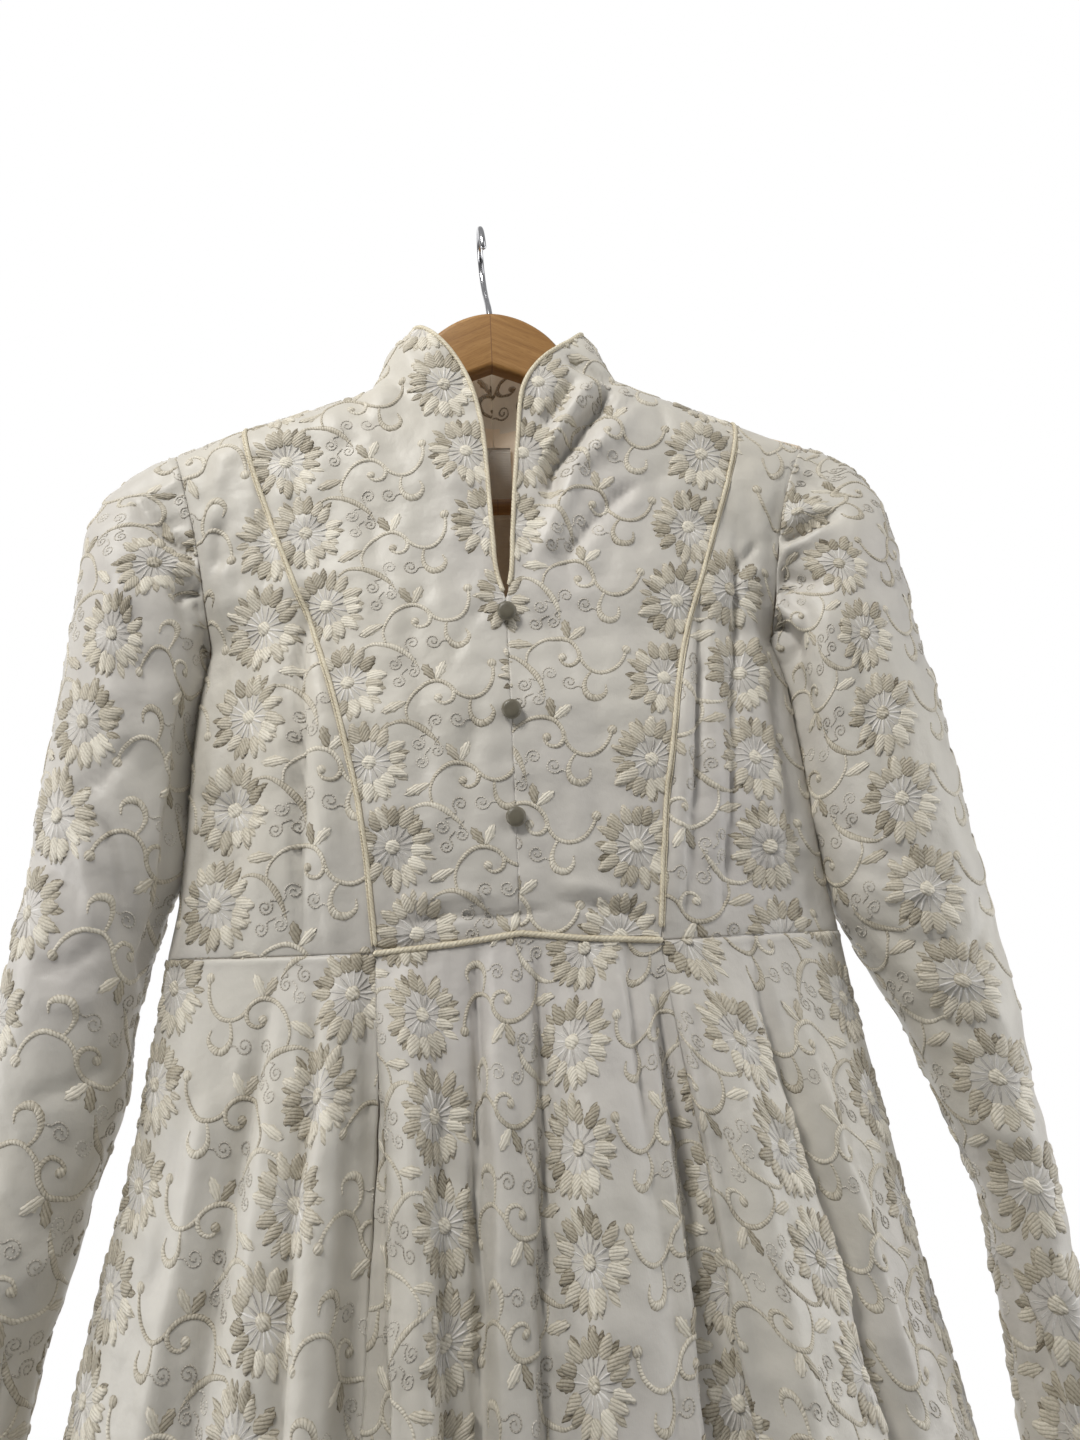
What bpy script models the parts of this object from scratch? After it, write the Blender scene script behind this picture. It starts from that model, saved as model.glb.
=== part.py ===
"""A long-sleeved wedding dress hanging on a wooden hanger.

Metres, +Z up, front towards -Y. The origin is the point inside the top of
the hanger's hook where it rests on a rail. Left and right are as seen from
the front, so left is -X.

Every cloth panel is a wall of WALL thickness. Its outer face comes from one
shared form of the garment: seam lines in the front plane (tables below, in
millimetres, with drops measured down from the origin), a rounded depth
field, and skirt flutes listed one per row. Neighbouring panels share the
points of their seam and are drawn back by half of SEAM_GAP each.
"""
import math
import bpy
import bmesh
from mathutils import Vector, Matrix

# ---------------------------------------------------------------- sizes, mm
MM = 0.001
WALL = 1.3              # cloth with its lining folded into one wall
SEAM_GAP = 0.3          # space between neighbouring panels
CLEAR = 0.3             # space between a panel and what lies on it
ROOF = 26.0             # width over which the cloth rounds off the shoulder
ARM_STEPS = 8           # panel rows along the armhole
SIDE_COLS = (0.0, 0.10, 0.34, 0.66, 1.0)      # side seam to bib seam
BIB_COLS = (0.0, 0.33, 0.67, 1.0)             # bib seam to neck line
NECK_COLS = (0.0, 0.5, 1.0)                   # neck line to front edge
RIM_COLS = (0.0, 0.3, 0.65, 1.0)              # collar tip to centre back
SLIT_ROW = 8            # row where the neck slit ends
ZIP_ROW = 4             # row of the back where the zip's slider sits
CF_X = 1.0              # centre front seam
CB_X = 0.0              # centre back seam
COLLAR_SPLIT = 2.2      # half opening of the back collar above the zip
HEM_DROP = 1493.0
PIPE_R = 1.8            # bib piping
NECK_PIPE_R = 1.5
ROPE_R = 1.9
BUTTON_R = 5.7
BUTTON_H = 3.6
BUTTON_DROPS = (275.0, 334.0, 394.0)
HANGER_T = 13.0
BAR_R = 5.0
BAR_DROP = 192.0
HOOK_R = 18.0           # centreline radius of the hook
HOOK_WIRE_R = 2.0

# ------------------------------------------------------- seam lines, by row
# e: armhole then side seam, a: bib seam, n: line below the neck point,
# b: neck edge then centre front. x is the distance from the centre.
FRONT_ROWS = ("ex", "ed", "ax", "ad", "nx", "nd", "bx", "bd")
FRONT_LEFT = [
    (197.0, 156, 154.0, 141, 77, 116, 49.0, 72),
    (195.5, 161, 153.5, 146, 76, 121, 44.0, 79),
    (191.0, 174, 152.0, 154, 74, 129, 36.0, 88),
    (186.0, 195, 149.0, 168, 71, 142, 23.0, 106),
    (180.5, 220, 144.0, 186, 66, 160, 13.0, 131),
    (177.0, 244, 137.0, 207, 61, 184, 8.0, 161),
    (175.0, 265, 128.5, 231, 56, 212, 6.5, 195),
    (174.0, 279, 119.5, 256, 51, 239, 5.0, 230),
    (175.0, 285, 111.0, 279, 46, 265, -CF_X, 262),
    (181.0, 313, 101.0, 311, 42, 305, -CF_X, 300),
    (184.5, 348, 91.0, 350, 38, 347, -CF_X, 343),
    (187.0, 388, 83.0, 391, 36, 390, -CF_X, 388),
    (190.0, 428, 79.0, 430, 35, 430, -CF_X, 428),
    (196.0, 461, 76.5, 463, 34, 460, -CF_X, 456),
]
FRONT_RIGHT = [
    (196.0, 154, 152.0, 141, 78, 112, 57.0, 78),
    (194.0, 160, 151.5, 146, 77, 117, 51.0, 87),
    (187.0, 173, 150.0, 154, 75, 126, 41.0, 97),
    (178.5, 194, 147.0, 168, 71, 140, 27.0, 110),
    (172.0, 220, 142.0, 186, 66, 158, 16.0, 132),
    (168.5, 244, 135.0, 207, 61, 183, 12.5, 162),
    (166.5, 265, 126.5, 231, 56, 211, 9.0, 196),
    (165.5, 279, 117.5, 256, 51, 239, 6.0, 231),
    (166.0, 287, 109.0, 279, 46, 265, CF_X, 262),
    (173.0, 315, 100.0, 311, 42, 305, CF_X, 300),
    (176.5, 348, 92.0, 350, 38, 347, CF_X, 343),
    (180.5, 388, 85.0, 391, 36, 390, CF_X, 388),
    (184.0, 428, 80.0, 430, 35, 430, CF_X, 428),
    (189.5, 462, 77.0, 463, 34, 460, CF_X, 456),
]
# back: a and n as above, t: line below the collar tip, c: centre back
BACK_ROWS = ("ax", "ad", "nx", "nd", "tx", "td", "cd")
BACK = [
    (None, None, None, None, None, None, 93),
    (152.5, 146, 76, 121, 46, 81, 101),
    (151.0, 154, 74, 129, 43, 91, 109),
    (148.0, 168, 70, 142, 39, 107, 121),
    (145.0, 185, 66, 160, 36, 129, 137),
    (141.0, 207, 62, 184, 33, 158, 162),
    (138.0, 230, 59, 211, 31, 191, 191),
    (135.0, 253, 57, 236, 29, 221, 219),
    (133.0, 276, 55, 263, 28, 251, 249),
    (131.0, 311, 54, 302, 27, 296, 293),
    (131.0, 349, 53, 343, 27, 340, 338),
    (131.0, 388, 53, 386, 27, 385, 384),
    (132.0, 427, 54, 427, 27, 427, 426),
    (135.0, 462, 55, 462, 27, 462, 462),
]
# depth of the front and back faces, and the width of the rounded section
DEPTH_ROWS = ("drop", "front", "back", "wide_l", "wide_r")
DEPTH = [
    (60, 23, 21, 300, 300),
    (93, 27, 25, 280, 280),
    (116, 30, 27, 260, 260),
    (156, 33, 28, 240, 238),
    (195, 36, 29, 226, 220),
    (223, 38, 30, 213, 206),
    (250, 41, 31, 197, 189),
    (270, 43, 31, 182, 174),
    (286, 44, 32, 175, 166),
    (343, 50, 33, 184, 176),
    (403, 50, 33, 188, 182),
    (463, 46, 32, 196, 189.5),
]
# skirt: half widths, depths and the seams of the centre front panel
SKIRT_ROWS = ("drop", "left", "right", "front", "back", "seam_l", "seam_r")
SKIRT = [
    (462, 196.0, 189.5, 46, 32, 76.5, 77),
    (505, 202.5, 195.0, 56, 42, 77, 80),
    (565, 212.0, 205.0, 69, 55, 78, 86),
    (635, 228.0, 216.0, 81, 68, 79, 92),
    (700, 241.0, 229.0, 91, 79, 81, 98),
    (830, 265.0, 254.0, 106, 96, 88, 113),
    (990, 292.0, 283.0, 122, 113, 103, 134),
    (1160, 321.0, 312.0, 136, 128, 118, 150),
    (1330, 348.0, 340.0, 147, 140, 132, 165),
    (1493, 374.0, 366.0, 156, 150, 146, 180),
]
# skirt flutes: where each ridge (+) or trough (-) runs, as a share of the
# half width (-1 left side, 0 centre, +1 right side), and how far it stands
# out from the plain form at the waist, half way down and at the hem
FLUTE_ROWS = ("at_waist", "at_mid", "at_hem", "r_waist", "r_mid", "r_hem")
FRONT_FLUTES = [
    (-1.00, -1.00, -1.00, 0.0, 0.0, 0.0),
    (-0.86, -0.84, -0.84, 0.5, 5.0, 20.0),
    (-0.70, -0.66, -0.68, -0.5, -8.0, -26.0),
    (-0.52, -0.47, -0.53, 1.0, 12.0, 24.0),
    (-0.40, -0.34, -0.38, -0.5, -17.0, -32.0),
    (-0.32, -0.27, -0.26, 2.0, 9.0, 24.0),
    (-0.11, -0.12, -0.13, -3.0, -15.0, -28.0),
    (-0.03, -0.02, -0.03, 1.0, 2.0, 18.0),
    (0.05, 0.02, 0.07, -3.0, -10.0, -26.0),
    (0.22, 0.20, 0.19, 2.0, 9.0, 25.0),
    (0.37, 0.38, 0.36, -3.0, -19.0, -32.0),
    (0.52, 0.55, 0.52, 0.5, 11.0, 26.0),
    (0.76, 0.76, 0.70, -0.5, -7.0, -24.0),
    (0.90, 0.89, 0.86, 0.3, 4.0, 18.0),
    (1.00, 1.00, 1.00, 0.0, 0.0, 0.0),
]
BACK_FLUTES = [
    (-1.00, -1.00, -1.00, 0.0, 0.0, 0.0),
    (-0.85, -0.84, -0.85, 0.3, 5.0, 19.0),
    (-0.68, -0.66, -0.69, -0.5, -9.0, -25.0),
    (-0.50, -0.50, -0.52, 0.5, 11.0, 26.0),
    (-0.32, -0.33, -0.35, -1.0, -14.0, -28.0),
    (-0.14, -0.17, -0.18, 1.0, 10.0, 24.0),
    (0.00, -0.01, 0.00, -1.0, -9.0, -24.0),
    (0.16, 0.15, 0.17, 1.0, 12.0, 26.0),
    (0.34, 0.34, 0.35, -1.0, -13.0, -27.0),
    (0.53, 0.53, 0.53, 0.5, 9.0, 24.0),
    (0.70, 0.69, 0.70, -0.5, -8.0, -24.0),
    (0.87, 0.86, 0.86, 0.3, 5.0, 18.0),
    (1.00, 1.00, 1.00, 0.0, 0.0, 0.0),
]
# heights of the skirt's rows
SKIRT_DROPS = (462, 505, 565, 635, 700, 830, 990, 1160, 1330, 1493)
# sleeve rings: outer edge, inner edge and half depth
SLEEVE_ROWS = ("ox", "od", "ix", "id", "depth")
SLEEVE_LEFT = [
    (214, 163, 179.5, 292, 27),
    (232, 177, 182, 300, 34),
    (244, 198, 183.6, 309, 38),
    (250, 233, 185.2, 322, 39),
    (257, 278, 187, 342, 39),
    (264, 328, 188.9, 367, 38),
    (271, 388, 192.2, 411, 37),
    (277, 440, 201, 447, 36),
    (285, 490, 211, 492, 34),
    (293, 540, 219, 541, 32),
    (301, 590, 235, 594, 31),
    (310, 640, 250, 645, 29),
    (320, 692, 261, 697, 28),
    (330, 745, 273, 748, 27),
]
SLEEVE_RIGHT = [
    (211, 160, 170.8, 294, 27),
    (227, 171, 173, 301, 34),
    (240, 190, 175.2, 311, 38),
    (248, 222, 177.2, 323, 39),
    (255, 270, 179.4, 344, 39),
    (263, 325, 182, 372, 39),
    (272, 385, 185.2, 407, 39),
    (280, 435, 191, 443, 38),
    (284, 478, 207, 484, 36),
    (289, 520, 226.5, 524, 34),
    (293, 565, 244, 568, 33),
    (297, 615, 259, 617, 31),
    (303, 668, 260, 669, 30),
    (312, 744, 266, 745, 28),
]
# hanger outline, right half: top edge outwards, then the under edge inwards
HANGER_TOP = [(0, 59), (18, 63), (34, 73), (49, 91), (64, 110), (80, 124),
              (112, 136), (154, 148), (190, 161), (212, 170), (226, 181),
              (231, 193), (227, 203)]
HANGER_UNDER = [(214, 206), (200, 199), (168, 184), (124, 168), (84, 151),
                (50, 128), (22, 107), (0, 98)]


# ------------------------------------------------------------------ helpers
def cells(row, names):
    return dict(zip(names, row))


def hermite(xs, ys, x):
    """Smooth value of a table at x, flat at peaks, held at both ends."""
    if x <= xs[0]:
        return ys[0]
    if x >= xs[-1]:
        return ys[-1]
    i = max(k for k in range(len(xs) - 1) if xs[k] <= x)

    def chord(k):
        return (ys[k + 1] - ys[k]) / (xs[k + 1] - xs[k])

    def slope(k):
        if k == 0:
            return chord(0)
        if k == len(xs) - 1:
            return chord(k - 1)
        a, b = chord(k - 1), chord(k)
        return 0.0 if a * b <= 0 else 2 * a * b / (a + b)
    h = xs[i + 1] - xs[i]
    t = (x - xs[i]) / h
    a, b = slope(i) * h, slope(i + 1) * h
    d = ys[i + 1] - ys[i]
    return ys[i] + t * (a + t * (3 * d - 2 * a - b + t * (a + b - 2 * d)))


def look(table, names, key, value, against="drop"):
    i, j = names.index(against), names.index(key)
    return hermite([r[i] for r in table], [r[j] for r in table], value)


def round_off(share):
    share = min(max(share, 0.0), 1.0)
    return math.sqrt(1 - (1 - share) ** 2)


def lens(share, p=2.4, q=1.8):
    share = min(abs(share), 1.0)
    return (1 - share ** p) ** (1 / q)


def inside(x, drop, side):
    """Distance of a bodice point from the shoulder and collar outline."""
    rows = FRONT_LEFT if side < 0 else FRONT_RIGHT
    top = cells(rows[0], FRONT_ROWS)
    x = abs(x)

    def below(x0, d0, x1, d1, sign):
        run, fall = x1 - x0, d1 - d0
        size = math.hypot(run, fall)
        return sign * ((x - x0) * -fall + (drop - d0) * run) / size
    shoulder = max(min(below(top["nx"], top["nd"], top["ax"], top["ad"], 1),
                       200.0),
                   -50.0)
    tip = below(top["ax"], top["ad"], top["ex"], top["ed"], 1)
    shoulder = min(shoulder, tip) if x > top["ax"] else shoulder
    collar = below(top["bx"], top["bd"], top["nx"], top["nd"], 1)
    return max(shoulder, collar, 0.0)


def bodice_depth(x, drop, side, face):
    """How far the bodice stands in front of (or behind) the hanger plane."""
    deep = look(DEPTH, DEPTH_ROWS, face, drop)
    wide = look(DEPTH, DEPTH_ROWS, "wide_l" if side < 0 else "wide_r", drop)
    return deep * lens(x / wide) * round_off(inside(x, drop, side) / ROOF)


def blend_cols(p, q, shares):
    return [(p[0] + (q[0] - p[0]) * s, p[1] + (q[1] - p[1]) * s)
            for s in shares]


def front_rows(side):
    """Front bodice points, a list of rows of (x, drop), side seam first."""
    rows = FRONT_LEFT if side < 0 else FRONT_RIGHT
    grid = []
    for row in rows:
        c = cells(row, FRONT_ROWS)
        e, a = (c["ex"], c["ed"]), (c["ax"], c["ad"])
        n, b = (c["nx"], c["nd"]), (c["bx"], c["bd"])
        line = (blend_cols(e, a, SIDE_COLS) + blend_cols(a, n, BIB_COLS)[1:]
                + blend_cols(n, b, NECK_COLS)[1:])
        grid.append([(side * x, d) for x, d in line])
    return grid


def back_rows(side):
    """Back bodice points, sharing the front's shoulder and side seams."""
    rows = FRONT_LEFT if side < 0 else FRONT_RIGHT
    grid = []
    for i, (frow, brow) in enumerate(zip(rows, BACK)):
        f, k = cells(frow, FRONT_ROWS), cells(brow, BACK_ROWS)
        e = (f["ex"], f["ed"])
        if i == 0:
            a, n = (f["ax"], f["ad"]), (f["nx"], f["nd"])
            t = (f["bx"], f["bd"])
        else:
            a, n = (k["ax"], k["ad"]), (k["nx"], k["nd"])
            t = (k["tx"], k["td"])
        edge = COLLAR_SPLIT if i < ZIP_ROW else 0.0
        c = (CB_X + edge, k["cd"])
        line = (blend_cols(e, a, SIDE_COLS) + blend_cols(a, n, BIB_COLS)[1:]
                + blend_cols(n, t, NECK_COLS)[1:])
        # the collar's rim falls away fast from the tip, then runs level
        line += [(t[0] + (c[0] - t[0]) * s,
                  t[1] + (c[1] - t[1]) * (1 - (1 - s) ** 2))
                 for s in RIM_COLS[1:]]
        grid.append([(side * x, d) for x, d in line])
    return grid


def bodice_point(x, drop, side, face, seam):
    y = 0.0 if seam else bodice_depth(x, drop, side, face)
    return Vector((x, -y if face == "front" else y, -drop))


def bodice_grid(side, face):
    rows = front_rows(side) if face == "front" else back_rows(side)
    tip_col = len(SIDE_COLS) + len(BIB_COLS) + len(NECK_COLS) - 3
    grid = []
    for i, row in enumerate(rows):
        line = []
        for j, (x, d) in enumerate(row):
            seam = (i == 0 and j <= tip_col) or (i >= SLIT_ROW and j == 0)
            line.append(bodice_point(x, d, side, face, seam))
        grid.append(line)
    return grid


def flute(u, drop, table):
    """Displacement of the skirt at share u of the half width."""
    t = (drop - SKIRT_DROPS[0]) / (HEM_DROP - SKIRT_DROPS[0])
    at = [hermite([0, 0.3, 1], r[0:3], t) for r in table]
    out = [hermite([0, 0.3, 1], r[3:6], t) for r in table]
    i = max(k for k in range(len(at) - 1) if at[k] <= u or k == 0)
    s = min(max((u - at[i]) / (at[i + 1] - at[i]), 0.0), 1.0)
    return out[i] + (out[i + 1] - out[i]) * (0.5 - 0.5 * math.cos(s * math.pi))


def waist_line(face):
    """The bodice's foot edge, left to right, which the skirt hangs from."""
    return [bodice_grid(-1, face)[-1][j] for j in
            range(len(bodice_grid(-1, face)[-1]))] + list(
        reversed(bodice_grid(1, face)[-1]))


WAIST = {}


def on_waist(x, face):
    if face not in WAIST:
        WAIST[face] = waist_line(face)
    line = WAIST[face]
    for p, q in zip(line, line[1:]):
        if p.x <= x <= q.x and q.x > p.x:
            return p.lerp(q, (x - p.x) / (q.x - p.x))
    return (line[0] if x < 0 else line[-1]).copy()


def skirt_point(u, drop, face):
    """Point of the skirt at share u of its half width."""
    half = look(SKIRT, SKIRT_ROWS, "left" if u < 0 else "right", drop)
    deep = look(SKIRT, SKIRT_ROWS, face, drop)
    t = (drop - SKIRT_DROPS[0]) / (HEM_DROP - SKIRT_DROPS[0])
    p, q = 2.4 - 0.4 * t, 1.8 + 0.2 * t
    x, y = half * u, deep * lens(u, p, q)
    if drop <= SKIRT_DROPS[0]:
        return on_waist(x, face)
    push = flute(u, drop, FRONT_FLUTES if face == "front" else BACK_FLUTES)
    lean = math.atan2(half * (1 - abs(u)) * 2.2 + 1e-6, deep)
    x += math.copysign(push * math.cos(min(lean, math.pi / 2)), u)
    y += push * math.sin(min(lean, math.pi / 2))
    if abs(u) >= 1.0:
        y = 0.0
    # the raised waist dips up a little at the centre front
    rise = 6.5 * max(0.0, 1 - abs(x) / 77) if face == "front" else 0.0
    fade = max(0.0, 1 - (drop - 462) / 60)
    return Vector((x, -y if face == "front" else y, -(drop - rise * fade)))


def skirt_grid(face, shares_at):
    return [[skirt_point(u, d, face) for u in shares_at(d)]
            for d in SKIRT_DROPS]


def spread(a, b, count):
    return [a + (b - a) * k / count for k in range(count + 1)]


# --------------------------------------------------------- building a wall
class Panel:
    """One cloth panel: a grid of outer points, and how its edges end."""

    def __init__(self, name, grid, edges, closed=False):
        self.name, self.grid, self.edges = name, grid, edges
        self.closed = closed

    def faces(self):
        rows, cols = len(self.grid), len(self.grid[0])
        wrap = cols if self.closed else cols - 1
        for i in range(rows - 1):
            for j in range(wrap):
                k = (j + 1) % cols
                yield (i, j), (i + 1, k), (i, k)
                yield (i, j), (i + 1, j), (i + 1, k)

    def normals(self):
        n = [[Vector((0, 0, 0)) for _ in row] for row in self.grid]
        for tri in self.faces():
            a, b, c = (self.grid[i][j] for i, j in tri)
            f = (b - a).cross(c - a)
            for i, j in tri:
                n[i][j] += f
        return n


def key_of(p):
    return tuple(round(c * 50) for c in p)


def shared_normals(panels):
    """Unit normals pointing out of the dress, averaged where panels meet.

    Sleeve, bodice and skirt count the same at a point, however many panels
    of each meet there, so that the inner edge lies midway between them.
    """
    pool = {}
    for p in panels:
        p.norm = p.normals()
        kind = p.name.split("_")[0]
        kind = kind if kind in ("sleeve", "skirt") else "bodice"
        for row_p, row_n in zip(p.grid, p.norm):
            for q, n in zip(row_p, row_n):
                kinds = pool.setdefault(key_of(q), {})
                kinds.setdefault(kind, Vector((0, 0, 0)))
                kinds[kind] += n.normalized()
    for p in panels:
        p.norm = [[sum((n.normalized() for n in pool[key_of(q)].values()),
                       Vector((0, 0, 0))).normalized() for q in row]
                  for row in p.grid]


def draw_back(panel):
    """Move the panel's sewn edges in by half the seam gap."""
    g, rows, cols = panel.grid, len(panel.grid), len(panel.grid[0])
    half = SEAM_GAP / 2
    moved = [[q.copy() for q in row] for row in g]

    def pull(i, j, i2, j2):
        # sleeve and side seam stand off a little more under the arm
        low = panel.closed and abs(j - cols // 2) < 3
        low = low or (not panel.closed and rows == len(FRONT_LEFT)
                      and i in (ARM_STEPS, ARM_STEPS + 1))
        step = g[i2][j2] - g[i][j]
        n = panel.norm[i][j]
        step -= n * step.dot(n)
        # keep the step square to the seam, so that the gap stays even
        if i == i2:
            along = g[min(i + 1, rows - 1)][j] - g[max(i - 1, 0)][j]
        else:
            left = (j - 1) % cols if panel.closed else max(j - 1, 0)
            right = (j + 1) % cols if panel.closed else min(j + 1, cols - 1)
            along = g[i][right] - g[i][left]
        along.normalize()
        step -= along * step.dot(along)
        moved[i][j] += step.normalized() * (half + 0.3 if low else half)
    for edge in panel.edges:
        side, first, last = edge
        for k in range(first, last + 1):
            if side == "top":
                pull(0, k, 1, k)
            elif side == "foot":
                pull(rows - 1, k, rows - 2, k)
            elif side == "start":
                pull(k, 0, k, 1)
            else:
                pull(k, cols - 1, k, cols - 2)
    panel.grid = moved


def level_row(panel, row):
    """Make the offset of one row horizontal, for a level seam."""
    for n in panel.norm[row]:
        n.z = 0.0
        n.normalize()


def wall(panel, material, outward=1):
    """Closed wall between the panel's outer face and its inner face."""
    bm = bmesh.new()
    outer = [[bm.verts.new(q * MM) for q in row] for row in panel.grid]
    inner = [[bm.verts.new((q - n * WALL) * MM) for q, n in zip(rq, rn)]
             for rq, rn in zip(panel.grid, panel.norm)]
    for a, b, c in panel.faces():
        tri = [outer[i][j] for i, j in (a, b, c)]
        opp = [inner[i][j] for i, j in (a, b, c)]
        bm.faces.new(tri)
        bm.faces.new(reversed(opp))
    rows, cols = len(outer), len(outer[0])

    def rim(a, b):
        (i, j), (k, m) = a, b
        bm.faces.new((outer[k][m], outer[i][j], inner[i][j]))
        bm.faces.new((outer[k][m], inner[i][j], inner[k][m]))
    last = cols if panel.closed else cols - 1
    for j in range(last):
        k = (j + 1) % cols
        rim((0, j), (0, k))
        rim((rows - 1, k), (rows - 1, j))
    if not panel.closed:
        for i in range(rows - 1):
            rim((i + 1, 0), (i, 0))
            rim((i, cols - 1), (i + 1, cols - 1))
    bmesh.ops.recalc_face_normals(bm, faces=bm.faces)
    mesh = bpy.data.meshes.new(panel.name)
    bm.to_mesh(mesh)
    bm.free()
    return put(panel.name, mesh, material)


# ---------------------------------------------------------------- the scene
for old in list(bpy.data.objects):
    bpy.data.objects.remove(old, do_unlink=True)
PARTS = bpy.data.collections.new("wedding_dress")
CUTTERS = bpy.data.collections.new("cutters")
bpy.context.scene.collection.children.link(PARTS)
bpy.context.scene.collection.children.link(CUTTERS)


def finish(name, colour, rough, metal=0.0):
    m = bpy.data.materials.new(name)
    m.use_nodes = True
    s = m.node_tree.nodes["Principled BSDF"]
    s.inputs["Base Color"].default_value = (*colour, 1)
    s.inputs["Roughness"].default_value = rough
    s.inputs["Metallic"].default_value = metal
    return m


SATIN = finish("satin", (0.66, 0.65, 0.62), 0.45)
CORD = finish("cord", (0.75, 0.70, 0.57), 0.55)
COVERED = finish("covered_button", (0.24, 0.23, 0.19), 0.5)
TAPE = finish("zip_tape", (0.66, 0.64, 0.58), 0.7)
STEEL = finish("steel", (0.70, 0.70, 0.71), 0.25, 1.0)
WOOD = finish("wood", (0.42, 0.19, 0.06), 0.45)


def put(name, data, material, where=None):
    obj = bpy.data.objects.new(name, data)
    data.materials.append(material)
    (where or PARTS).objects.link(obj)
    return obj


# ---------------------------------------------------------------- the cloth
ROWS = len(FRONT_LEFT)
SIDE_END = len(SIDE_COLS) - 1
BIB_END = SIDE_END + len(BIB_COLS) + len(NECK_COLS) - 2


panels = []


def add_panel(name, grid, edges, flip=False, closed=False):
    if flip:
        grid = [list(reversed(row)) for row in grid]
        last = len(grid[0]) - 1
        swap = {"start": "end", "end": "start"}
        edges = [(swap.get(s, s),
                  a if s in swap else last - b,
                  b if s in swap else last - a) for s, a, b in edges]
    panels.append(Panel(name, grid, edges, closed))
    return panels[-1]


last = ROWS - 1
for side, word in ((-1, "left"), (1, "right")):
    front = bodice_grid(side, "front")
    back = bodice_grid(side, "back")
    # columns start at the side seam; facing out needs -X to +X order in
    # front, and the reverse behind
    add_panel("side_front_" + word,
              [row[:SIDE_END + 1] for row in front],
              [("top", 0, SIDE_END), ("foot", 0, SIDE_END),
               ("start", 0, last), ("end", 0, last)], flip=side > 0)
    cols = BIB_END - SIDE_END
    add_panel("bib_" + word,
              [row[SIDE_END:] for row in front],
              [("top", 0, cols), ("foot", 0, cols), ("start", 0, last),
               ("end", SLIT_ROW, last)], flip=side > 0)
    cols = len(back[0]) - 1
    add_panel("back_" + word, back,
              [("top", 0, BIB_END), ("foot", 0, cols), ("start", 0, last),
               ("end", ZIP_ROW, last)], flip=side < 0)

# skirt: the centre panel's seams follow the table, the rest divides evenly
def seam_share(drop, side):
    seam = look(SKIRT, SKIRT_ROWS, "seam_l" if side < 0 else "seam_r", drop)
    half = look(SKIRT, SKIRT_ROWS, "left" if side < 0 else "right", drop)
    return side * seam / half


add_panel("skirt_front_centre",
          skirt_grid("front", lambda d: spread(seam_share(d, -1),
                                               seam_share(d, 1), 18)),
          [("top", 0, 18), ("start", 0, 9), ("end", 0, 9)])
EDGE = (0.0, 0.03, 0.10, 0.20, 0.32, 0.44, 0.56, 0.67, 0.78, 0.89, 1.0)
add_panel("skirt_front_left",
          skirt_grid("front", lambda d: [-1 + (seam_share(d, -1) + 1) * s
                                         for s in EDGE]),
          [("top", 0, 10), ("start", 0, 9), ("end", 0, 9)])
add_panel("skirt_front_right",
          skirt_grid("front", lambda d: [1 - (1 - seam_share(d, 1)) * s
                                         for s in reversed(EDGE)]),
          [("top", 0, 10), ("start", 0, 9), ("end", 0, 9)])
HALF = (0.0, 0.015, 0.06, 0.13, 0.21, 0.29, 0.37, 0.45, 0.53, 0.61, 0.69,
        0.77, 0.85, 0.93, 1.0)
add_panel("skirt_back_left",
          skirt_grid("back", lambda d: [s - 1 for s in reversed(HALF)]),
          [("top", 0, 14), ("start", 0, 9), ("end", 0, 9)])
add_panel("skirt_back_right",
          skirt_grid("back", lambda d: [1 - s for s in HALF]),
          [("top", 0, 14), ("start", 0, 9), ("end", 0, 9)])


def sleeve_grid(side):
    front = bodice_grid(side, "front")
    back = bodice_grid(side, "back")
    ring = [front[i][0] for i in range(ARM_STEPS + 1)]
    ring += [back[i][0] for i in range(ARM_STEPS - 1, 0, -1)]
    grid = [ring]
    for row in (SLEEVE_LEFT if side < 0 else SLEEVE_RIGHT):
        c = cells(row, SLEEVE_ROWS)
        out = Vector((side * c["ox"], 0, -c["od"]))
        inn = Vector((side * c["ix"], 0, -c["id"]))
        mid, arm = (out + inn) / 2, (out - inn) / 2
        grid.append([mid + arm * math.cos(math.pi * j / ARM_STEPS)
                     + Vector((0, -c["depth"]
                               * math.sin(math.pi * j / ARM_STEPS), 0))
                     for j in range(2 * ARM_STEPS)])
    return grid


for side, word in ((-1, "left"), (1, "right")):
    add_panel("sleeve_" + word, sleeve_grid(side),
              [("top", 0, 2 * ARM_STEPS - 1)], flip=side > 0, closed=True)

shared_normals(panels)
by_name = {p.name: p for p in panels}
for p in panels:
    if p.name.startswith("skirt"):
        level_row(p, 0)
    elif not p.name.startswith("sleeve"):
        level_row(p, last)
SEAM = {p.name: ([row[:] for row in p.grid], [row[:] for row in p.norm])
        for p in panels}
for p in panels:
    draw_back(p)
for p in panels:
    wall(p, SATIN)


# ------------------------------------------------------ cords, as curves
def tube(name, points, radius, material, sides=2):
    curve = bpy.data.curves.new(name, "CURVE")
    curve.dimensions = "3D"
    curve.bevel_depth = radius * MM
    curve.bevel_resolution = sides
    curve.use_fill_caps = True
    line = curve.splines.new("POLY")
    line.points.add(len(points) - 1)
    for p, q in zip(line.points, points):
        p.co = (*(q * MM), 1)
    return put(name, curve, material)


def out_from(name, i, j, dist):
    grid, norm = SEAM[name]
    return grid[i][j] + norm[i][j] * dist


def trimmed(points, first, final):
    """Shorten a run of points by a distance at each end."""
    pts = [p.copy() for p in points]
    pts[0] += (pts[1] - pts[0]).normalized() * first
    pts[-1] += (pts[-2] - pts[-1]).normalized() * final
    return pts


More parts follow.
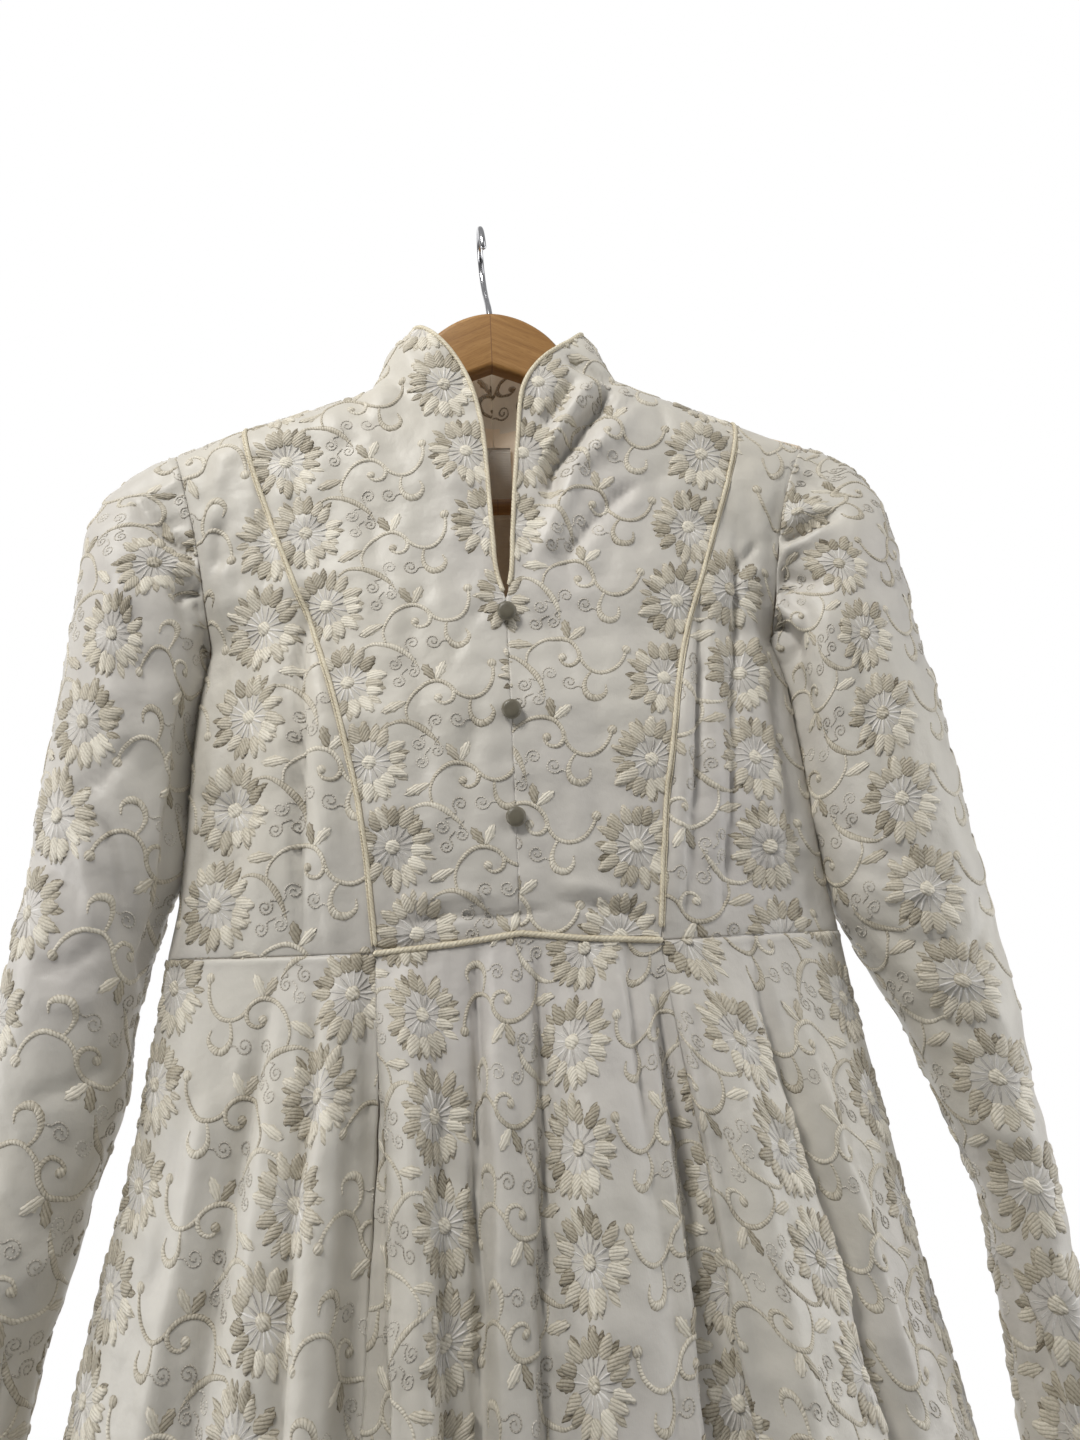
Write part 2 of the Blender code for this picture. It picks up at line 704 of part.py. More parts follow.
for side, word in ((-1, "left"), (1, "right")):
    col = 0 if side < 0 else -1
    seam = [out_from("bib_" + word, i, col, PIPE_R + CLEAR + 0.3)
            for i in range(ROWS)]
    tube("piping_bib_" + word, trimmed(seam[1:], 0, 6), PIPE_R, CORD, 1)
    col = -1 if side < 0 else 0
    lift = NECK_PIPE_R + CLEAR + 0.5
    seam = [out_from("bib_" + word, i, col, lift)
            for i in range(1, SLIT_ROW + 1)]
    tube("piping_neck_" + word, trimmed(seam, 0, 9), NECK_PIPE_R, CORD, 1)

waist = [skirt_point(u, 462, "front")
         for u in spread(seam_share(462, -1), seam_share(462, 1), 18)]
_, rope_n = SEAM["skirt_front_centre"]
tube("piping_waist",
     trimmed([q + n * (ROPE_R + CLEAR + 0.5)
              for q, n in zip(waist, rope_n[0])], 1.5, 1.5),
     ROPE_R, CORD, 1)


# ------------------------------------------------------------- the buttons
def turned(name, profile, material, steps=16):
    """A profile of (radius, height) turned about its own Z axis."""
    mesh = bpy.data.meshes.new(name)
    bm = bmesh.new()
    verts = [bm.verts.new((r * MM, 0, h * MM)) for r, h in profile]
    for a, b in zip(verts, verts[1:]):
        bm.edges.new((a, b))
    bm.to_mesh(mesh)
    bm.free()
    obj = put(name, mesh, material)
    screw = obj.modifiers.new("turn", "SCREW")
    screw.steps = screw.render_steps = steps
    screw.use_merge_vertices = True
    screw.merge_threshold = 0.00005
    return obj


def cf_y(drop):
    return -bodice_depth(CF_X, drop, 1, "front")


for word, drop in zip(("top", "middle", "bottom"), BUTTON_DROPS):
    dome = [(0, BUTTON_H), (2.4, BUTTON_H - 0.3), (4.4, BUTTON_H - 1.1),
            (BUTTON_R, BUTTON_H - 2.4), (5.2, BUTTON_H - 3.3), (0, 0)]
    b = turned("button_" + word, dome, COVERED)
    lean = math.atan2(cf_y(drop + 8) - cf_y(drop - 8), 16)
    b.rotation_euler = (math.pi / 2 - lean, 0, 0)
    b.location = Vector((CF_X, cf_y(drop) - 1.2, -drop)) * MM

# ----------------------------------------------------------------- the zip
ZIP_TOP = BACK[ZIP_ROW][-1] + 2.0
zip_n = [SEAM["back_left"][0][i][0] for i in range(ZIP_ROW, ROWS)]
zip_d = [-q.z for q in zip_n]
zip_y = [q.y for q in zip_n]
skirt_run = [skirt_point(0.0, d, "back") for d in SKIRT_DROPS[1:5]]
zip_d += [-q.z for q in skirt_run]
zip_y += [q.y for q in skirt_run]
bm = bmesh.new()
TAPE_W, TAPE_T = 11.0, 1.0
back_of = [WALL + CLEAR + 0.9, WALL + CLEAR + 0.9 + TAPE_T]
rings = []
for d, y in zip(zip_d, zip_y):
    if d < ZIP_TOP:
        d = ZIP_TOP
    ring = [bm.verts.new(Vector((x, y - back, -d)) * MM)
            for x, back in ((-TAPE_W, back_of[0] + 0.5),
                            (TAPE_W, back_of[0] + 0.5),
                            (TAPE_W, back_of[1] + 0.5),
                            (-TAPE_W, back_of[1] + 0.5))]
    rings.append(ring)
for a, b in zip(rings, rings[1:]):
    for k in range(4):
        m = (k + 1) % 4
        bm.faces.new((a[k], a[m], b[m], b[k]))
bm.faces.new(rings[0])
bm.faces.new(list(reversed(rings[-1])))
bmesh.ops.recalc_face_normals(bm, faces=bm.faces)
mesh = bpy.data.meshes.new("zip_tape")
bm.to_mesh(mesh)
bm.free()
put("zip_tape", mesh, TAPE)


def block(name, low, high, material, bevel=0.0, where=None):
    mesh = bpy.data.meshes.new(name)
    bm = bmesh.new()
    bmesh.ops.create_cube(bm, size=1.0)
    low, high = Vector(low), Vector(high)
    for v in bm.verts:
        v.co = Vector([(low[k] + high[k]) / 2 + v.co[k] * (high[k] - low[k])
                       for k in range(3)]) * MM
    bm.to_mesh(mesh)
    bm.free()
    obj = put(name, mesh, material, where)
    if bevel:
        b = obj.modifiers.new("edges", "BEVEL")
        b.width, b.segments = bevel * MM, 1
    return obj


# slider: lies on the outside of the closed edges, with a small bridge
SL_Y = SEAM["back_left"][0][ZIP_ROW][0].y + 0.6
slope = (SEAM["back_left"][0][ZIP_ROW + 1][0].y - SL_Y) / 25
slider = block("zip_slider", (-3.6, SL_Y, -ZIP_TOP - 5.5),
               (3.6, SL_Y + 2.6, -ZIP_TOP + 4.5), STEEL, 0.6)
# bridge: a bow over the slider that the pull tab hangs from
HINGE = Vector((0.0, SL_Y + 4.1, -ZIP_TOP + 1.9))
bow = block("bow", (-0.7, SL_Y + 2.0, -ZIP_TOP - 1.6),
            (0.7, SL_Y + 5.8, -ZIP_TOP + 3.6), STEEL, 0, CUTTERS)
eye = block("bow_eye", (-3, SL_Y + 3.1, -ZIP_TOP - 0.6),
            (3, SL_Y + 5.0, -ZIP_TOP + 2.7), STEEL, 0, CUTTERS)
for obj in (bow, eye):
    obj.hide_render = True
    obj.display_type = "WIRE"
u = slider.modifiers.new("bow", "BOOLEAN")
u.operation, u.object, u.solver = "UNION", bow, "EXACT"
u = slider.modifiers.new("eye", "BOOLEAN")
u.operation, u.object, u.solver = "DIFFERENCE", eye, "EXACT"

# pull tab: a plate with a ring at its upper end, around the bow's bar
PULL_L, PULL_W, PULL_T = 19.0, 5.0, 1.0
pull = block("zip_pull", (-PULL_W / 2, HINGE.y - PULL_T / 2, HINGE.z - PULL_L),
             (PULL_W / 2, HINGE.y + PULL_T / 2, HINGE.z + 0.45), STEEL)
hole = block("pull_hole", (-1.35, HINGE.y - 3, HINGE.z - 4.6),
             (1.35, HINGE.y + 3, HINGE.z - 0.45), STEEL, 0, CUTTERS)
hole.hide_render = True
hole.display_type = "WIRE"
u = pull.modifiers.new("hole", "BOOLEAN")
u.operation, u.object, u.solver = "DIFFERENCE", hole, "EXACT"


# -------------------------------------------------------------- the hanger
def outline(points, name, thick, bevel, material, where=None):
    curve = bpy.data.curves.new(name, "CURVE")
    curve.dimensions = "2D"
    curve.fill_mode = "BOTH"
    curve.extrude = thick / 2 * MM
    line = curve.splines.new("POLY")
    line.points.add(len(points) - 1)
    for p, (x, d) in zip(line.points, points):
        p.co = (x * MM, -d * MM, 0, 1)
    line.use_cyclic_u = True
    temp = put(name + "_outline", curve, material, where)
    bpy.context.view_layer.update()
    deps = bpy.context.evaluated_depsgraph_get()
    mesh = bpy.data.meshes.new_from_object(temp.evaluated_get(deps))
    bpy.data.objects.remove(temp, do_unlink=True)
    bm = bmesh.new()
    bm.from_mesh(mesh)
    bmesh.ops.remove_doubles(bm, verts=bm.verts, dist=0.00001)
    bmesh.ops.rotate(bm, verts=bm.verts,
                     matrix=Matrix.Rotation(math.pi / 2, 3, "X"))
    bmesh.ops.dissolve_limit(bm, angle_limit=0.001, verts=bm.verts,
                             edges=bm.edges)
    bmesh.ops.recalc_face_normals(bm, faces=bm.faces)
    bm.to_mesh(mesh)
    bm.free()
    mesh.materials.clear()
    obj = put(name, mesh, material, where)
    if bevel:
        b = obj.modifiers.new("edges", "BEVEL")
        b.width, b.segments = bevel * MM, 2
        b.limit_method = "ANGLE"
        b.angle_limit = math.radians(60)
    return obj


half = HANGER_TOP + HANGER_UNDER
ring = half + [(-x, d) for x, d in reversed(half) if x > 0]
wood = outline(ring, "hanger_wood", HANGER_T, 3.0, WOOD)


def rod(name, radius, length, centre, turn, material, sides=12, where=None):
    mesh = bpy.data.meshes.new(name)
    bm = bmesh.new()
    bmesh.ops.create_cone(bm, cap_ends=True, segments=sides,
                          radius1=radius * MM, radius2=radius * MM,
                          depth=length * MM)
    bmesh.ops.rotate(bm, verts=bm.verts, matrix=turn)
    bmesh.ops.translate(bm, verts=bm.verts, vec=Vector(centre) * MM)
    bm.to_mesh(mesh)
    bm.free()
    return put(name, mesh, material, where)


ALONG_X = Matrix.Rotation(math.pi / 2, 3, "Y")
BAR_HALF = 212.0
rod("hanger_bar", BAR_R, 2 * BAR_HALF, (0, 0, -BAR_DROP), ALONG_X, WOOD)
socket = rod("bar_socket", BAR_R + 0.35, 2 * BAR_HALF + 0.7,
             (0, 0, -BAR_DROP), ALONG_X, WOOD, 12, CUTTERS)
SHANK_IN = 12.0
shank = rod("shank_socket", HOOK_WIRE_R + 0.35, 2 * SHANK_IN + 0.7,
            (0, 0, -HANGER_TOP[0][1]), Matrix.Identity(3), STEEL, 10, CUTTERS)
for obj, word in ((socket, "bar"), (shank, "shank")):
    obj.hide_render = True
    obj.display_type = "WIRE"
    cut = wood.modifiers.new(word, "BOOLEAN")
    cut.operation, cut.object, cut.solver = "DIFFERENCE", obj, "EXACT"

# hook: straight shank, an S into the far side, then a half circle forward
TOP_Z = -(HOOK_R - HOOK_WIRE_R)     # centre of the bow below its inner top
path = [Vector((0, 0, -HANGER_TOP[0][1] - SHANK_IN))]
path += [Vector((0, 0, -HANGER_TOP[0][1] + 1)), Vector((0, 1.5, -52)),
         Vector((0, 6.5, -44)), Vector((0, 12.5, -35)),
         Vector((0, 16.6, -26))]
for k in range(13):
    a = math.radians(0 + 198 * k / 12)
    path.append(Vector((0, HOOK_R * math.cos(a),
                        TOP_Z + HOOK_R * math.sin(a))))
LEAN = math.tan(math.radians(4.4))      # the hook is bent a little to -X
for q in path:
    q.x = -max(0.0, q.z + HANGER_TOP[0][1]) * LEAN
tube("hanger_hook", path, HOOK_WIRE_R, STEEL, 1)
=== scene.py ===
"""Looks of the wedding dress on its hanger.

Every cloth panel is a thin shell on the form of its solid: the same seam
tables, depth field and flutes, read smoothly and at a finer step, with the
main creases placed as soft troughs and ridges. The embroidery is
stitched relief made by functions: petals, loops, vines, leaves and spirals
are laid out in each panel's flat cut and carried onto the hanging cloth.

Sizes are in millimetres, with drops measured down from the origin, and go
to metres only where a mesh is made. Left is -X, as seen from the front.
"""
import math
import bmesh
import bpy
import numpy as np
from mathutils import Matrix, Vector
from mathutils.bvhtree import BVHTree


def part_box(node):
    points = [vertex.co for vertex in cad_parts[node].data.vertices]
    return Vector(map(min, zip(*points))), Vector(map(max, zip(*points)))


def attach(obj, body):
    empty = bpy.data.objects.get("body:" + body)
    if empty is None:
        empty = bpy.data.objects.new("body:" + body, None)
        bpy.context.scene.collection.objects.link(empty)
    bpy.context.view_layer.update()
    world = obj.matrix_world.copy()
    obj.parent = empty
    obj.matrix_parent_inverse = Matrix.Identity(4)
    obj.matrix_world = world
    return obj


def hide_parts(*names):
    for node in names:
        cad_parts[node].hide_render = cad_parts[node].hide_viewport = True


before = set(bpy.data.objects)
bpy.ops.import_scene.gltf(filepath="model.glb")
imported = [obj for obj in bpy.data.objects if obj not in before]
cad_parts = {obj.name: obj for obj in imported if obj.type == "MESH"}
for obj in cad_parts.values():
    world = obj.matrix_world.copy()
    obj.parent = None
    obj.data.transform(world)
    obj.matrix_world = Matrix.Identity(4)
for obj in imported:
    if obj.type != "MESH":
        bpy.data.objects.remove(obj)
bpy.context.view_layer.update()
MM = 0.001
RNG = np.random.default_rng(11)

# ------------------------------------------------------------------ camera
CAM_AT = (-25.4, -634.84, -468.0)
CAM_PITCH, CAM_YAW, CAM_ROLL = 12.265, 4.1086, 2.7518


def camera():
    th, ps, ph = (math.radians(a) for a in (CAM_PITCH, CAM_YAW, CAM_ROLL))
    out = Vector((math.sin(ps) * math.cos(th), math.cos(ps) * math.cos(th),
                  math.sin(th)))
    right = Vector((math.cos(ps), -math.sin(ps), 0))
    up = right.cross(out)
    r = right * math.cos(ph) - up * math.sin(ph)
    u = up * math.cos(ph) + right * math.sin(ph)
    data = bpy.data.cameras.new("camera")
    data.lens, data.sensor_width = 27.03, 36.0
    data.clip_start = 0.02
    cam = bpy.data.objects.new("camera", data)
    turn = Matrix((r, u, -out)).transposed().to_4x4()
    cam.matrix_world = Matrix.Translation(Vector(CAM_AT) * MM) @ turn
    bpy.context.scene.collection.objects.link(cam)
    bpy.context.scene.camera = cam


camera()

# ------------------------------------------------------- sizes, as the solids
ROOF = 26.0
ARM_STEPS = 8
SLIT_ROW, ZIP_ROW = 8, 4
CF_X, HEM_DROP, WAIST_DROP = 1.0, 1493.0, 462.0
SHELL = 1.1             # thickness of the shell: cloth and lining together
GROOVE, GROOVE_W = 0.4, 1.5     # how a seam sinks, and over what width
SEEN = 785.0            # above this drop the stitching is worked finely

# rows: e armhole then side seam, a bib seam, n below the neck point, b edge
FRONT_ROWS = ("ex", "ed", "ax", "ad", "nx", "nd", "bx", "bd")
FRONT_LEFT = [
    (197.0, 156, 154.0, 141, 77, 116, 49.0, 72),
    (195.5, 161, 153.5, 146, 76, 121, 44.0, 79),
    (191.0, 174, 152.0, 154, 74, 129, 36.0, 88),
    (186.0, 195, 149.0, 168, 71, 142, 23.0, 106),
    (180.5, 220, 144.0, 186, 66, 160, 13.0, 131),
    (177.0, 244, 137.0, 207, 61, 184, 8.0, 161),
    (175.0, 265, 128.5, 231, 56, 212, 6.5, 195),
    (174.0, 279, 119.5, 256, 51, 239, 5.0, 230),
    (175.0, 285, 111.0, 279, 46, 267, -CF_X, 266),
    (181.0, 313, 101.0, 311, 42, 305, -CF_X, 300),
    (184.5, 348, 91.0, 350, 38, 347, -CF_X, 343),
    (187.0, 388, 83.0, 391, 36, 390, -CF_X, 388),
    (190.0, 428, 79.0, 430, 35, 430, -CF_X, 428),
    (196.0, 461, 76.5, 463, 34, 460, -CF_X, 456),
]
FRONT_RIGHT = [
    (196.0, 154, 152.0, 141, 78, 112, 57.0, 78),
    (194.0, 160, 151.5, 146, 77, 117, 51.0, 87),
    (187.0, 173, 150.0, 154, 75, 126, 41.0, 97),
    (178.5, 194, 147.0, 168, 71, 140, 27.0, 110),
    (172.0, 220, 142.0, 186, 66, 158, 16.0, 132),
    (168.5, 244, 135.0, 207, 61, 183, 12.5, 162),
    (166.5, 265, 126.5, 231, 56, 211, 9.0, 196),
    (165.5, 279, 117.5, 256, 51, 239, 6.0, 231),
    (166.0, 287, 109.0, 279, 46, 267, CF_X, 266),
    (173.0, 315, 100.0, 311, 42, 305, CF_X, 300),
    (176.5, 348, 92.0, 350, 38, 347, CF_X, 343),
    (180.5, 388, 85.0, 391, 36, 390, CF_X, 388),
    (184.0, 428, 80.0, 430, 35, 430, CF_X, 428),
    (189.5, 462, 77.0, 463, 34, 460, CF_X, 456),
]
BACK_ROWS = ("ax", "ad", "nx", "nd", "tx", "td", "cd")
BACK = [
    (152.5, 141, 77, 116, 49, 72, 93),
    (152.5, 146, 76, 121, 46, 81, 101),
    (151.0, 154, 74, 129, 43, 91, 109),
    (148.0, 168, 70, 142, 39, 107, 121),
    (145.0, 185, 66, 160, 36, 129, 137),
    (141.0, 207, 62, 184, 33, 158, 162),
    (138.0, 230, 59, 211, 31, 191, 191),
    (135.0, 253, 57, 236, 29, 221, 219),
    (133.0, 276, 55, 263, 28, 251, 249),
    (131.0, 311, 54, 302, 27, 296, 293),
    (131.0, 349, 53, 343, 27, 340, 338),
    (131.0, 388, 53, 386, 27, 385, 384),
    (132.0, 427, 54, 427, 27, 427, 426),
    (135.0, 462, 55, 462, 27, 462, 462),
]
DEPTH_ROWS = ("drop", "front", "back", "wide_l", "wide_r")
DEPTH = [
    (60, 23, 21, 300, 300),
    (93, 27, 25, 280, 280),
    (116, 30, 27, 260, 260),
    (156, 33, 28, 240, 238),
    (195, 36, 29, 226, 220),
    (223, 38, 30, 213, 206),
    (250, 41, 31, 197, 189),
    (270, 43, 31, 182, 174),
    (286, 44, 32, 175, 166),
    (343, 50, 33, 184, 176),
    (403, 50, 33, 188, 182),
    (463, 46, 32, 196, 189.5),
]
SKIRT_ROWS = ("drop", "left", "right", "front", "back", "seam_l", "seam_r")
SKIRT = [
    (462, 196.0, 189.5, 46, 32, 76.5, 77),
    (505, 202.5, 195.0, 56, 42, 77, 80),
    (565, 212.0, 205.0, 69, 55, 78, 86),
    (635, 228.0, 216.0, 81, 68, 79, 92),
    (700, 241.0, 229.0, 91, 79, 81, 98),
    (830, 265.0, 254.0, 106, 96, 88, 113),
    (990, 292.0, 283.0, 122, 113, 103, 134),
    (1160, 321.0, 312.0, 136, 128, 118, 150),
    (1330, 348.0, 340.0, 147, 140, 132, 165),
    (1493, 374.0, 366.0, 156, 150, 146, 180),
]
FLUTE_ROWS = ("at_waist", "at_mid", "at_hem", "r_waist", "r_mid", "r_hem")
FRONT_FLUTES = [
    (-1.00, -1.00, -1.00, 0.0, 0.0, 0.0),
    (-0.86, -0.84, -0.84, 0.5, 5.0, 20.0),
    (-0.70, -0.66, -0.68, -0.5, -8.0, -26.0),
    (-0.52, -0.47, -0.53, 1.0, 12.0, 24.0),
    (-0.40, -0.34, -0.38, -0.5, -17.0, -32.0),
    (-0.32, -0.27, -0.26, 2.0, 9.0, 24.0),
    (-0.11, -0.12, -0.13, -3.0, -15.0, -28.0),
    (-0.03, -0.02, -0.03, 1.0, 2.0, 18.0),
    (0.05, 0.02, 0.07, -3.0, -10.0, -26.0),
    (0.22, 0.20, 0.19, 2.0, 9.0, 25.0),
    (0.37, 0.38, 0.36, -3.0, -19.0, -32.0),
    (0.52, 0.55, 0.52, 0.5, 11.0, 26.0),
    (0.76, 0.76, 0.70, -0.5, -7.0, -24.0),
    (0.90, 0.89, 0.86, 0.3, 4.0, 18.0),
    (1.00, 1.00, 1.00, 0.0, 0.0, 0.0),
]
BACK_FLUTES = [
    (-1.00, -1.00, -1.00, 0.0, 0.0, 0.0),
    (-0.85, -0.84, -0.85, 0.3, 5.0, 19.0),
    (-0.68, -0.66, -0.69, -0.5, -9.0, -25.0),
    (-0.50, -0.50, -0.52, 0.5, 11.0, 26.0),
    (-0.32, -0.33, -0.35, -1.0, -14.0, -28.0),
    (-0.14, -0.17, -0.18, 1.0, 10.0, 24.0),
    (0.00, -0.01, 0.00, -1.0, -9.0, -24.0),
    (0.16, 0.15, 0.17, 1.0, 12.0, 26.0),
    (0.34, 0.34, 0.35, -1.0, -13.0, -27.0),
    (0.53, 0.53, 0.53, 0.5, 9.0, 24.0),
    (0.70, 0.69, 0.70, -0.5, -8.0, -24.0),
    (0.87, 0.86, 0.86, 0.3, 5.0, 18.0),
    (1.00, 1.00, 1.00, 0.0, 0.0, 0.0),
]
SLEEVE_ROWS = ("ox", "od", "ix", "id", "depth")
SLEEVE_LEFT = [
    (214, 163, 175.8, 292, 27),
    (232, 177, 177.4, 300, 34),
    (244, 198, 179.2, 309, 38),
    (250, 233, 181.0, 322, 39),
    (257, 278, 183.0, 342, 39),
    (264, 328, 184.8, 367, 38),
    (271, 388, 187.9, 411, 37),
    (277, 440, 200.5, 447, 36),
    (285, 490, 212, 492, 34),
    (293, 540, 219, 541, 32),
    (301, 590, 235, 594, 31),
    (310, 640, 250, 645, 29),
    (320, 692, 261, 697, 28),
    (330, 745, 273, 748, 27),
]
SLEEVE_RIGHT = [
    (211, 160, 167.0, 294, 27),
    (227, 171, 169.0, 301, 34),
    (240, 190, 171.3, 311, 38),
    (248, 222, 173.0, 323, 39),
    (255, 270, 175.2, 344, 39),
    (263, 325, 178.0, 372, 39),
    (272, 385, 181.2, 407, 39),
    (280, 435, 187.0, 443, 38),
    (284, 478, 207, 484, 36),
    (289, 520, 226.5, 524, 34),
    (293, 565, 244, 568, 33),
    (297, 615, 259, 617, 31),
    (303, 668, 260, 669, 30),
    (312, 744, 266, 745, 28),
]


# ------------------------------------------------------------ smooth tables
def hermite(xs, ys, x):
    """Smooth values of a table at x, flat at peaks, held at both ends."""
    xs, ys = np.asarray(xs, float), np.asarray(ys, float)
    h = np.diff(xs)
    d = np.diff(ys) / h
    m = np.empty(len(xs))
    m[0], m[-1] = d[0], d[-1]
    a, b = d[:-1], d[1:]
    both = a * b > 0
    m[1:-1] = np.where(both, 2 * a * b / np.where(both, a + b, 1), 0)
    x = np.clip(x, xs[0], xs[-1])
    i = np.clip(np.searchsorted(xs, x, side="right") - 1, 0, len(xs) - 2)
    t = (x - xs[i]) / h[i]
    p, q, r = m[i] * h[i], m[i + 1] * h[i], ys[i + 1] - ys[i]
    return ys[i] + t * (p + t * (3 * r - 2 * p - q + t * (p + q - 2 * r)))


def look(rows, names, key, value, against="drop"):
    i, j = names.index(against), names.index(key)
    return hermite([r[i] for r in rows], [r[j] for r in rows], value)


def line(rows, names, kx, kd, t):
    """Points (x, drop) of a seam line at row numbers t."""
    n = np.arange(len(rows))
    return np.stack([hermite(n, [r[names.index(k)] for r in rows], t)
                     for k in (kx, kd)], -1)


def smooth(t):
    t = np.clip(t, 0, 1)
    return t * t * (3 - 2 * t)


def soft_max(a, b, k):
    h = np.clip(k - np.abs(a - b), 0, None) / k
    m = np.maximum(a, b)
    return m + h * h * k / 4 * np.clip(m / 8, 0, 1)


def front_table(side):
    return FRONT_LEFT if side < 0 else FRONT_RIGHT


# ---------------------------------------------------------------- the form
def inside(x, drop, side):
    """Distance of a bodice point from the shoulder and collar outline."""
    top = dict(zip(FRONT_ROWS, front_table(side)[0]))
    x = np.abs(x)

    def below(x0, d0, x1, d1):
        run, fall = x1 - x0, d1 - d0
        return ((x - x0) * -fall + (drop - d0) * run) / math.hypot(run, fall)
    shoulder = np.clip(below(top["nx"], top["nd"], top["ax"], top["ad"]),
                       -50, 200)
    tip = below(top["ax"], top["ad"], top["ex"], top["ed"])
    shoulder = np.where(x > top["ax"], np.minimum(shoulder, tip), shoulder)
    collar = below(top["bx"], top["bd"], top["nx"], top["nd"])
    return np.maximum(soft_max(shoulder, collar, 16.0), 0)


def bodice_depth(x, drop, side, face):
    """How far the bodice stands in front of (or behind) the hanger plane."""
    rows = front_table(side)
    deep = look(DEPTH, DEPTH_ROWS, face, drop)
    wide = look(DEPTH, DEPTH_ROWS, "wide_l" if side < 0 else "wide_r", drop)
    seam = hermite([r[1] for r in rows[ARM_STEPS:]],
                   [r[0] for r in rows[ARM_STEPS:]], drop)
    wide = np.where(drop >= rows[ARM_STEPS][1], seam, wide)
    share = np.clip(np.abs(x) / wide, 0, 1)
    lens = (1 - share ** 2.4) ** (1 / 1.8)
    roof = np.clip(inside(x, drop, side) / ROOF, 0, 1)
    return deep * lens * np.sqrt(1 - (1 - roof) ** 2)


def bodice_surface(side, face, t, s):
    """Grid of bodice points at rows t and columns s.

    s runs 0 to 1 from the side seam to the bib seam line, to 2 at the line
    below the neck point, to 3 at the neck edge or centre front. Behind, 3 is
    the line below the collar's tip and 4 the centre back.
    """
    rows = front_table(side)
    t = np.asarray(t, float)
    e = line(rows, FRONT_ROWS, "ex", "ed", t)
    if face == "front":
        stops = [e, line(rows, FRONT_ROWS, "ax", "ad", t),
                 line(rows, FRONT_ROWS, "nx", "nd", t),
                 line(rows, FRONT_ROWS, "bx", "bd", t)]
    else:
        back = [dict(zip(BACK_ROWS, r)) for r in BACK]
        top = dict(zip(FRONT_ROWS, rows[0]))
        back[0] = dict(ax=top["ax"], ad=top["ad"], nx=top["nx"],
                       nd=top["nd"], tx=top["bx"], td=top["bd"], cd=93)
        back = [tuple(b[k] for k in BACK_ROWS) for b in back]
        # above the zip the halves lie together, in two rounded lobes
        edge = 0.0 * t
        stops = [e, line(back, BACK_ROWS, "ax", "ad", t),
                 line(back, BACK_ROWS, "nx", "nd", t),
                 line(back, BACK_ROWS, "tx", "td", t)]
        cd = line(back, BACK_ROWS, "cd", "cd", t)[:, 0]
        stops.append(np.stack([edge, cd], -1))
    if face == "front":         # the slit closes in a bow, not a point
        f = np.clip(t - (SLIT_ROW - 1), 0, 1)
        x7, x8 = (rows[SLIT_ROW + i][FRONT_ROWS.index("bx")]
                  for i in (-1, 0))
        bow = x7 + (x8 - x7) * f ** 2.2
        stops[3][:, 0] = np.where((f > 0) & (f < 1), bow, stops[3][:, 0])
    grid = np.empty((len(t), len(s), 2))
    for j, v in enumerate(s):
        k = min(int(v), len(stops) - 2)
        f = v - k
        p, q = stops[k], stops[k + 1]
        if k == 3:      # the collar's rim falls away fast, then runs level
            grid[:, j, 0] = p[:, 0] + (q[:, 0] - p[:, 0]) * f
            grid[:, j, 1] = p[:, 1] + (q[:, 1] - p[:, 1]) * (1 - (1 - f) ** 2)
        else:
            grid[:, j] = p + (q - p) * f
    x, d = side * grid[..., 0], grid[..., 1]
    y = bodice_depth(x, d, side, face)
    if face == "back":
        top = np.clip(1 - t / 3.0, 0, 1)[:, None] ** 1.5
        lobe = smooth((37 - np.abs(x)) / 15)
        notch = np.exp(-(x / 5.0) ** 2)
        d = d - 10.0 * lobe * top * (1 - 0.15 * notch)
        puff = np.exp(-((d - 112) / 20) ** 2) * smooth((4 - t[:, None]) / 2)
        y = y - 8.0 * lobe * puff * (1 - 1.25 * notch)
    # the standing collar swells outwards where it leaves the shoulder
    swell = (6.5 if side < 0 else 5.0) * np.exp(
        -((d - 89) / 15) ** 2 - ((np.abs(x) - 66) / 19) ** 2)
    x = x + side * swell
    d = d - 0.35 * swell
    y[(t >= ARM_STEPS)[:, None] & (np.asarray(s) <= 0)[None, :]] = 0
    return np.stack([x, -y if face == "front" else y, -d], -1)


def flute(u, drop, table):
    """How far the skirt stands off its plain form, along one row."""
    t = (drop - WAIST_DROP) / (HEM_DROP - WAIST_DROP)
    at = np.array([hermite([0, 0.3, 1], r[0:3], t) for r in table])
    out = np.array([hermite([0, 0.3, 1], r[3:6], t) for r in table])
    i = np.clip(np.searchsorted(at, u, side="right") - 1, 0, len(at) - 2)
    s = np.clip((u - at[i]) / (at[i + 1] - at[i]), 0, 1)
    s = 0.5 - 0.5 * np.cos(s * math.pi)
    rising = out[i + 1] > out[i]
    s = np.where(rising, s, 1 - s) ** 0.8       # narrow troughs, broad ridges
    s = np.where(rising, s, 1 - s)
    return out[i] + (out[i + 1] - out[i]) * s


def foot_line(x, face):
    """Where the bodice ends, at the waist."""
    low, deep = np.empty_like(x), np.empty_like(x)
    for side in (-1, 1):
        here = (x < 0) if side < 0 else (x >= 0)
        pts = bodice_surface(side, face, [13.0], np.linspace(
            0, 3 if face == "front" else 4, 121))[0]
        order = np.argsort(pts[:, 0])
        low[here] = np.interp(x[here], pts[order, 0], pts[order, 2])
        deep[here] = bodice_depth(x[here], -low[here], side, face)
    return np.stack([x, -deep if face == "front" else deep, low], -1)


